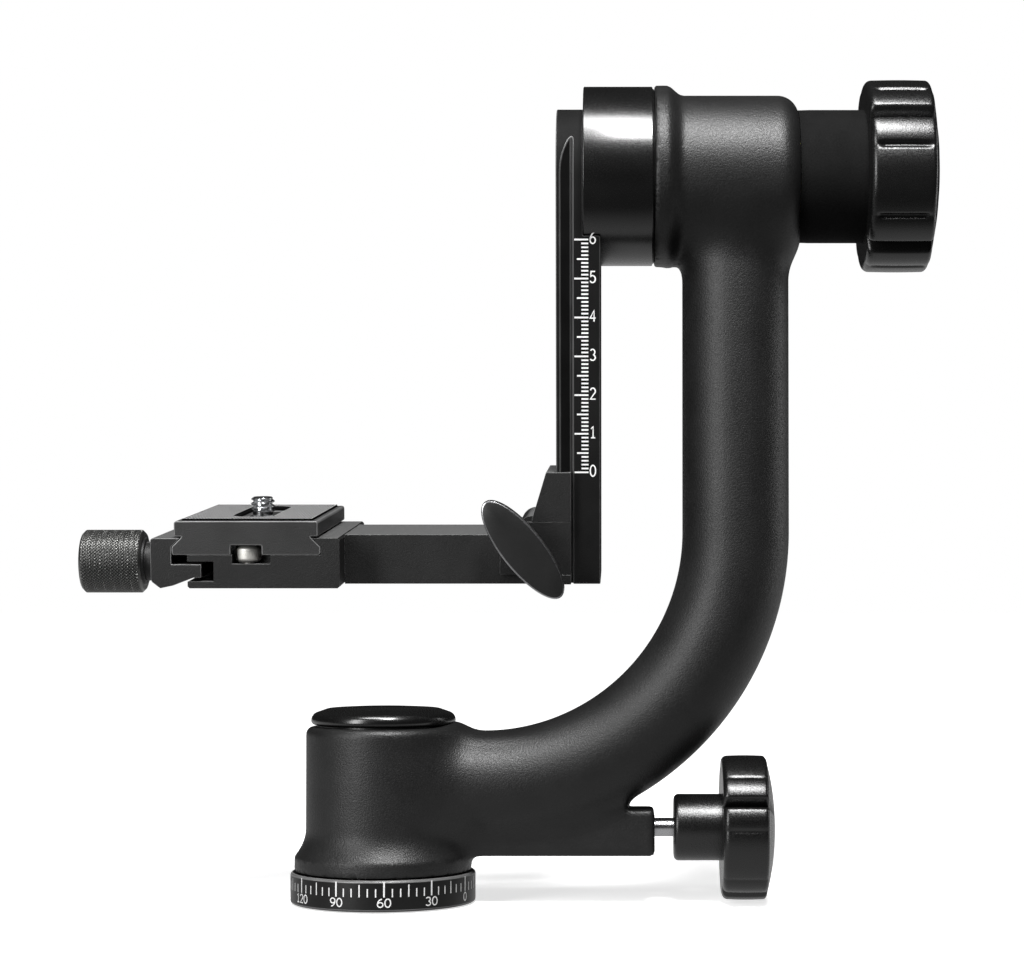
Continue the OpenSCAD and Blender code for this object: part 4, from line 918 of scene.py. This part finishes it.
def build_dial():
    """Degree marks round the base ring, numbered every 30."""
    r, zero = 24.17, 66.0
    foot, long_top, middle_top, short_top, digit_z = 3.85, 7.6, 6.97, 5.96, 2.4
    parts = []
    for mark in range(0, 360, 5):
        top = long_top if mark % 30 == 0 else middle_top if mark % 15 == 0 else short_top
        a = math.radians(zero - mark) * r
        w = 0.22 if mark % 30 == 0 else 0.16
        parts.append(bar(a - w, a + w, foot, top))
    for mark in range(0, 360, 30):
        a = math.radians(zero - mark) * r
        parts.append(number(str(mark), a, digit_z, height=2.25, width=1.65, line_width=0.31))
    verts, faces = join(*parts)
    verts = [(r * math.sin(s / r), -r * math.cos(s / r), z) for s, z in verts]
    mesh("dial_marks", verts, faces, "base", white_paint, slot="ring_black")


# ---------- camera, light and floor ----------

def build_camera():
    """The photo's view: close, at the height of the level arm's lower side.

    The lens is pitched a little and its shift takes up the rest, so that views from the side
    aren't cut.
    """
    focal_px, frame_px = 2400, 1024
    scene = bpy.context.scene
    data = bpy.data.cameras.new("camera")
    camera = bpy.data.objects.new("camera", data)
    scene.collection.objects.link(camera)
    data.sensor_fit = "HORIZONTAL"
    data.sensor_width = 36
    data.lens = data.sensor_width * focal_px / frame_px
    data.shift_x = -0.1048
    data.shift_y = 0.0553
    data.clip_start = 0.01
    camera.location = (0.0619, -0.6315, 0.0792)
    camera.rotation_euler = (math.radians(91.375), 0, 0)
    scene.camera = camera
    scene.view_settings.view_transform = "Standard"


def softbox(name, place, target, width, height, power):
    """A soft rectangular light in metres and watts, aimed at a target."""
    light = bpy.data.lights.new(name, "AREA")
    light.shape = "RECTANGLE"
    light.size, light.size_y = width, height
    light.energy = power
    lamp = bpy.data.objects.new(name, light)
    bpy.context.scene.collection.objects.link(lamp)
    lamp.location = place
    lamp.rotation_euler = (Vector(target) - Vector(place)).to_track_quat("-Z", "Y").to_euler()


def build_light():
    """One box over the drum, one over the clamp, a key from the left and a weak rim light."""
    softbox("top_box", (0.118, -0.41, 0.70), (0.108, 0, 0.19), 0.17, 0.24, 7.0)
    softbox("over_box", (-0.06, -0.30, 0.80), (-0.02, 0, 0.05), 0.45, 0.22, 6.0)
    softbox("left_box", (-0.46, -0.55, 0.26), (0.06, 0, 0.12), 0.22, 0.6, 4.5)
    softbox("right_box", (0.95, 0.30, 0.20), (0.08, 0, 0.10), 0.2, 0.7, 1.5)


def build_world():
    """White to the camera and nearly dark to every other ray."""
    world = bpy.data.worlds.new("world")
    bpy.context.scene.world = world
    world.use_nodes = True
    tree = world.node_tree
    background = tree.nodes["Background"]
    path = tree.nodes.new("ShaderNodeLightPath")
    level = tree.nodes.new("ShaderNodeMapRange")
    level.inputs["To Min"].default_value = 0.02
    level.inputs["To Max"].default_value = 1.0
    tree.links.new(path.outputs["Is Camera Ray"], level.inputs["Value"])
    tree.links.new(level.outputs["Result"], background.inputs["Strength"])
    background.inputs["Color"].default_value = (1, 1, 1, 1)


def floor_material():
    """Bright to the camera and dark to the rest, but for a strip that shows in polished faces."""
    look = Look("pale_floor")
    path = look.node("ShaderNodeLightPath").outputs
    look.base(look.blend(path["Is Camera Ray"], grey(0.03), grey(0.9)))
    look.set("Roughness", 0.9)
    look.set("Specular IOR Level", 0.1)
    look.set("Emission Color", (1, 1, 1))
    away = look.node("ShaderNodeVectorMath", operation="LENGTH")
    look.link(look.place, away.inputs[0])
    glow = look.remap(away.outputs["Value"], 0.15, 0.5, 0.7, 1.1)
    seen = look.product(path["Is Camera Ray"], glow)
    place = look.node("ShaderNodeSeparateXYZ")
    look.link(look.place, place.inputs[0])
    strip = look.remap(place.outputs["Y"], -0.16, -0.03, 0.0, 0.6)
    look.set("Emission Strength", look.product(path["Is Glossy Ray"], strip, seen))
    return look.material


def build_floor():
    """A pale floor, far wider than the view."""
    data = bpy.data.meshes.new("floor")
    reach, level = 12.0, -0.0004
    data.from_pydata([(-reach, -reach, level), (reach, -reach, level), (reach, reach, level),
                      (-reach, reach, level)], [], [(0, 1, 2, 3)])
    data.materials.append(floor_material())
    floor = bpy.data.objects.new("floor", data)
    bpy.context.scene.collection.objects.link(floor)


dress_kept_nodes()
build_arm()
build_knobs()
build_turned()
build_grip()
build_camera_screw()
build_pad()
build_lever()
build_ruler()
build_dial()
build_camera()
build_light()
build_world()
build_floor()
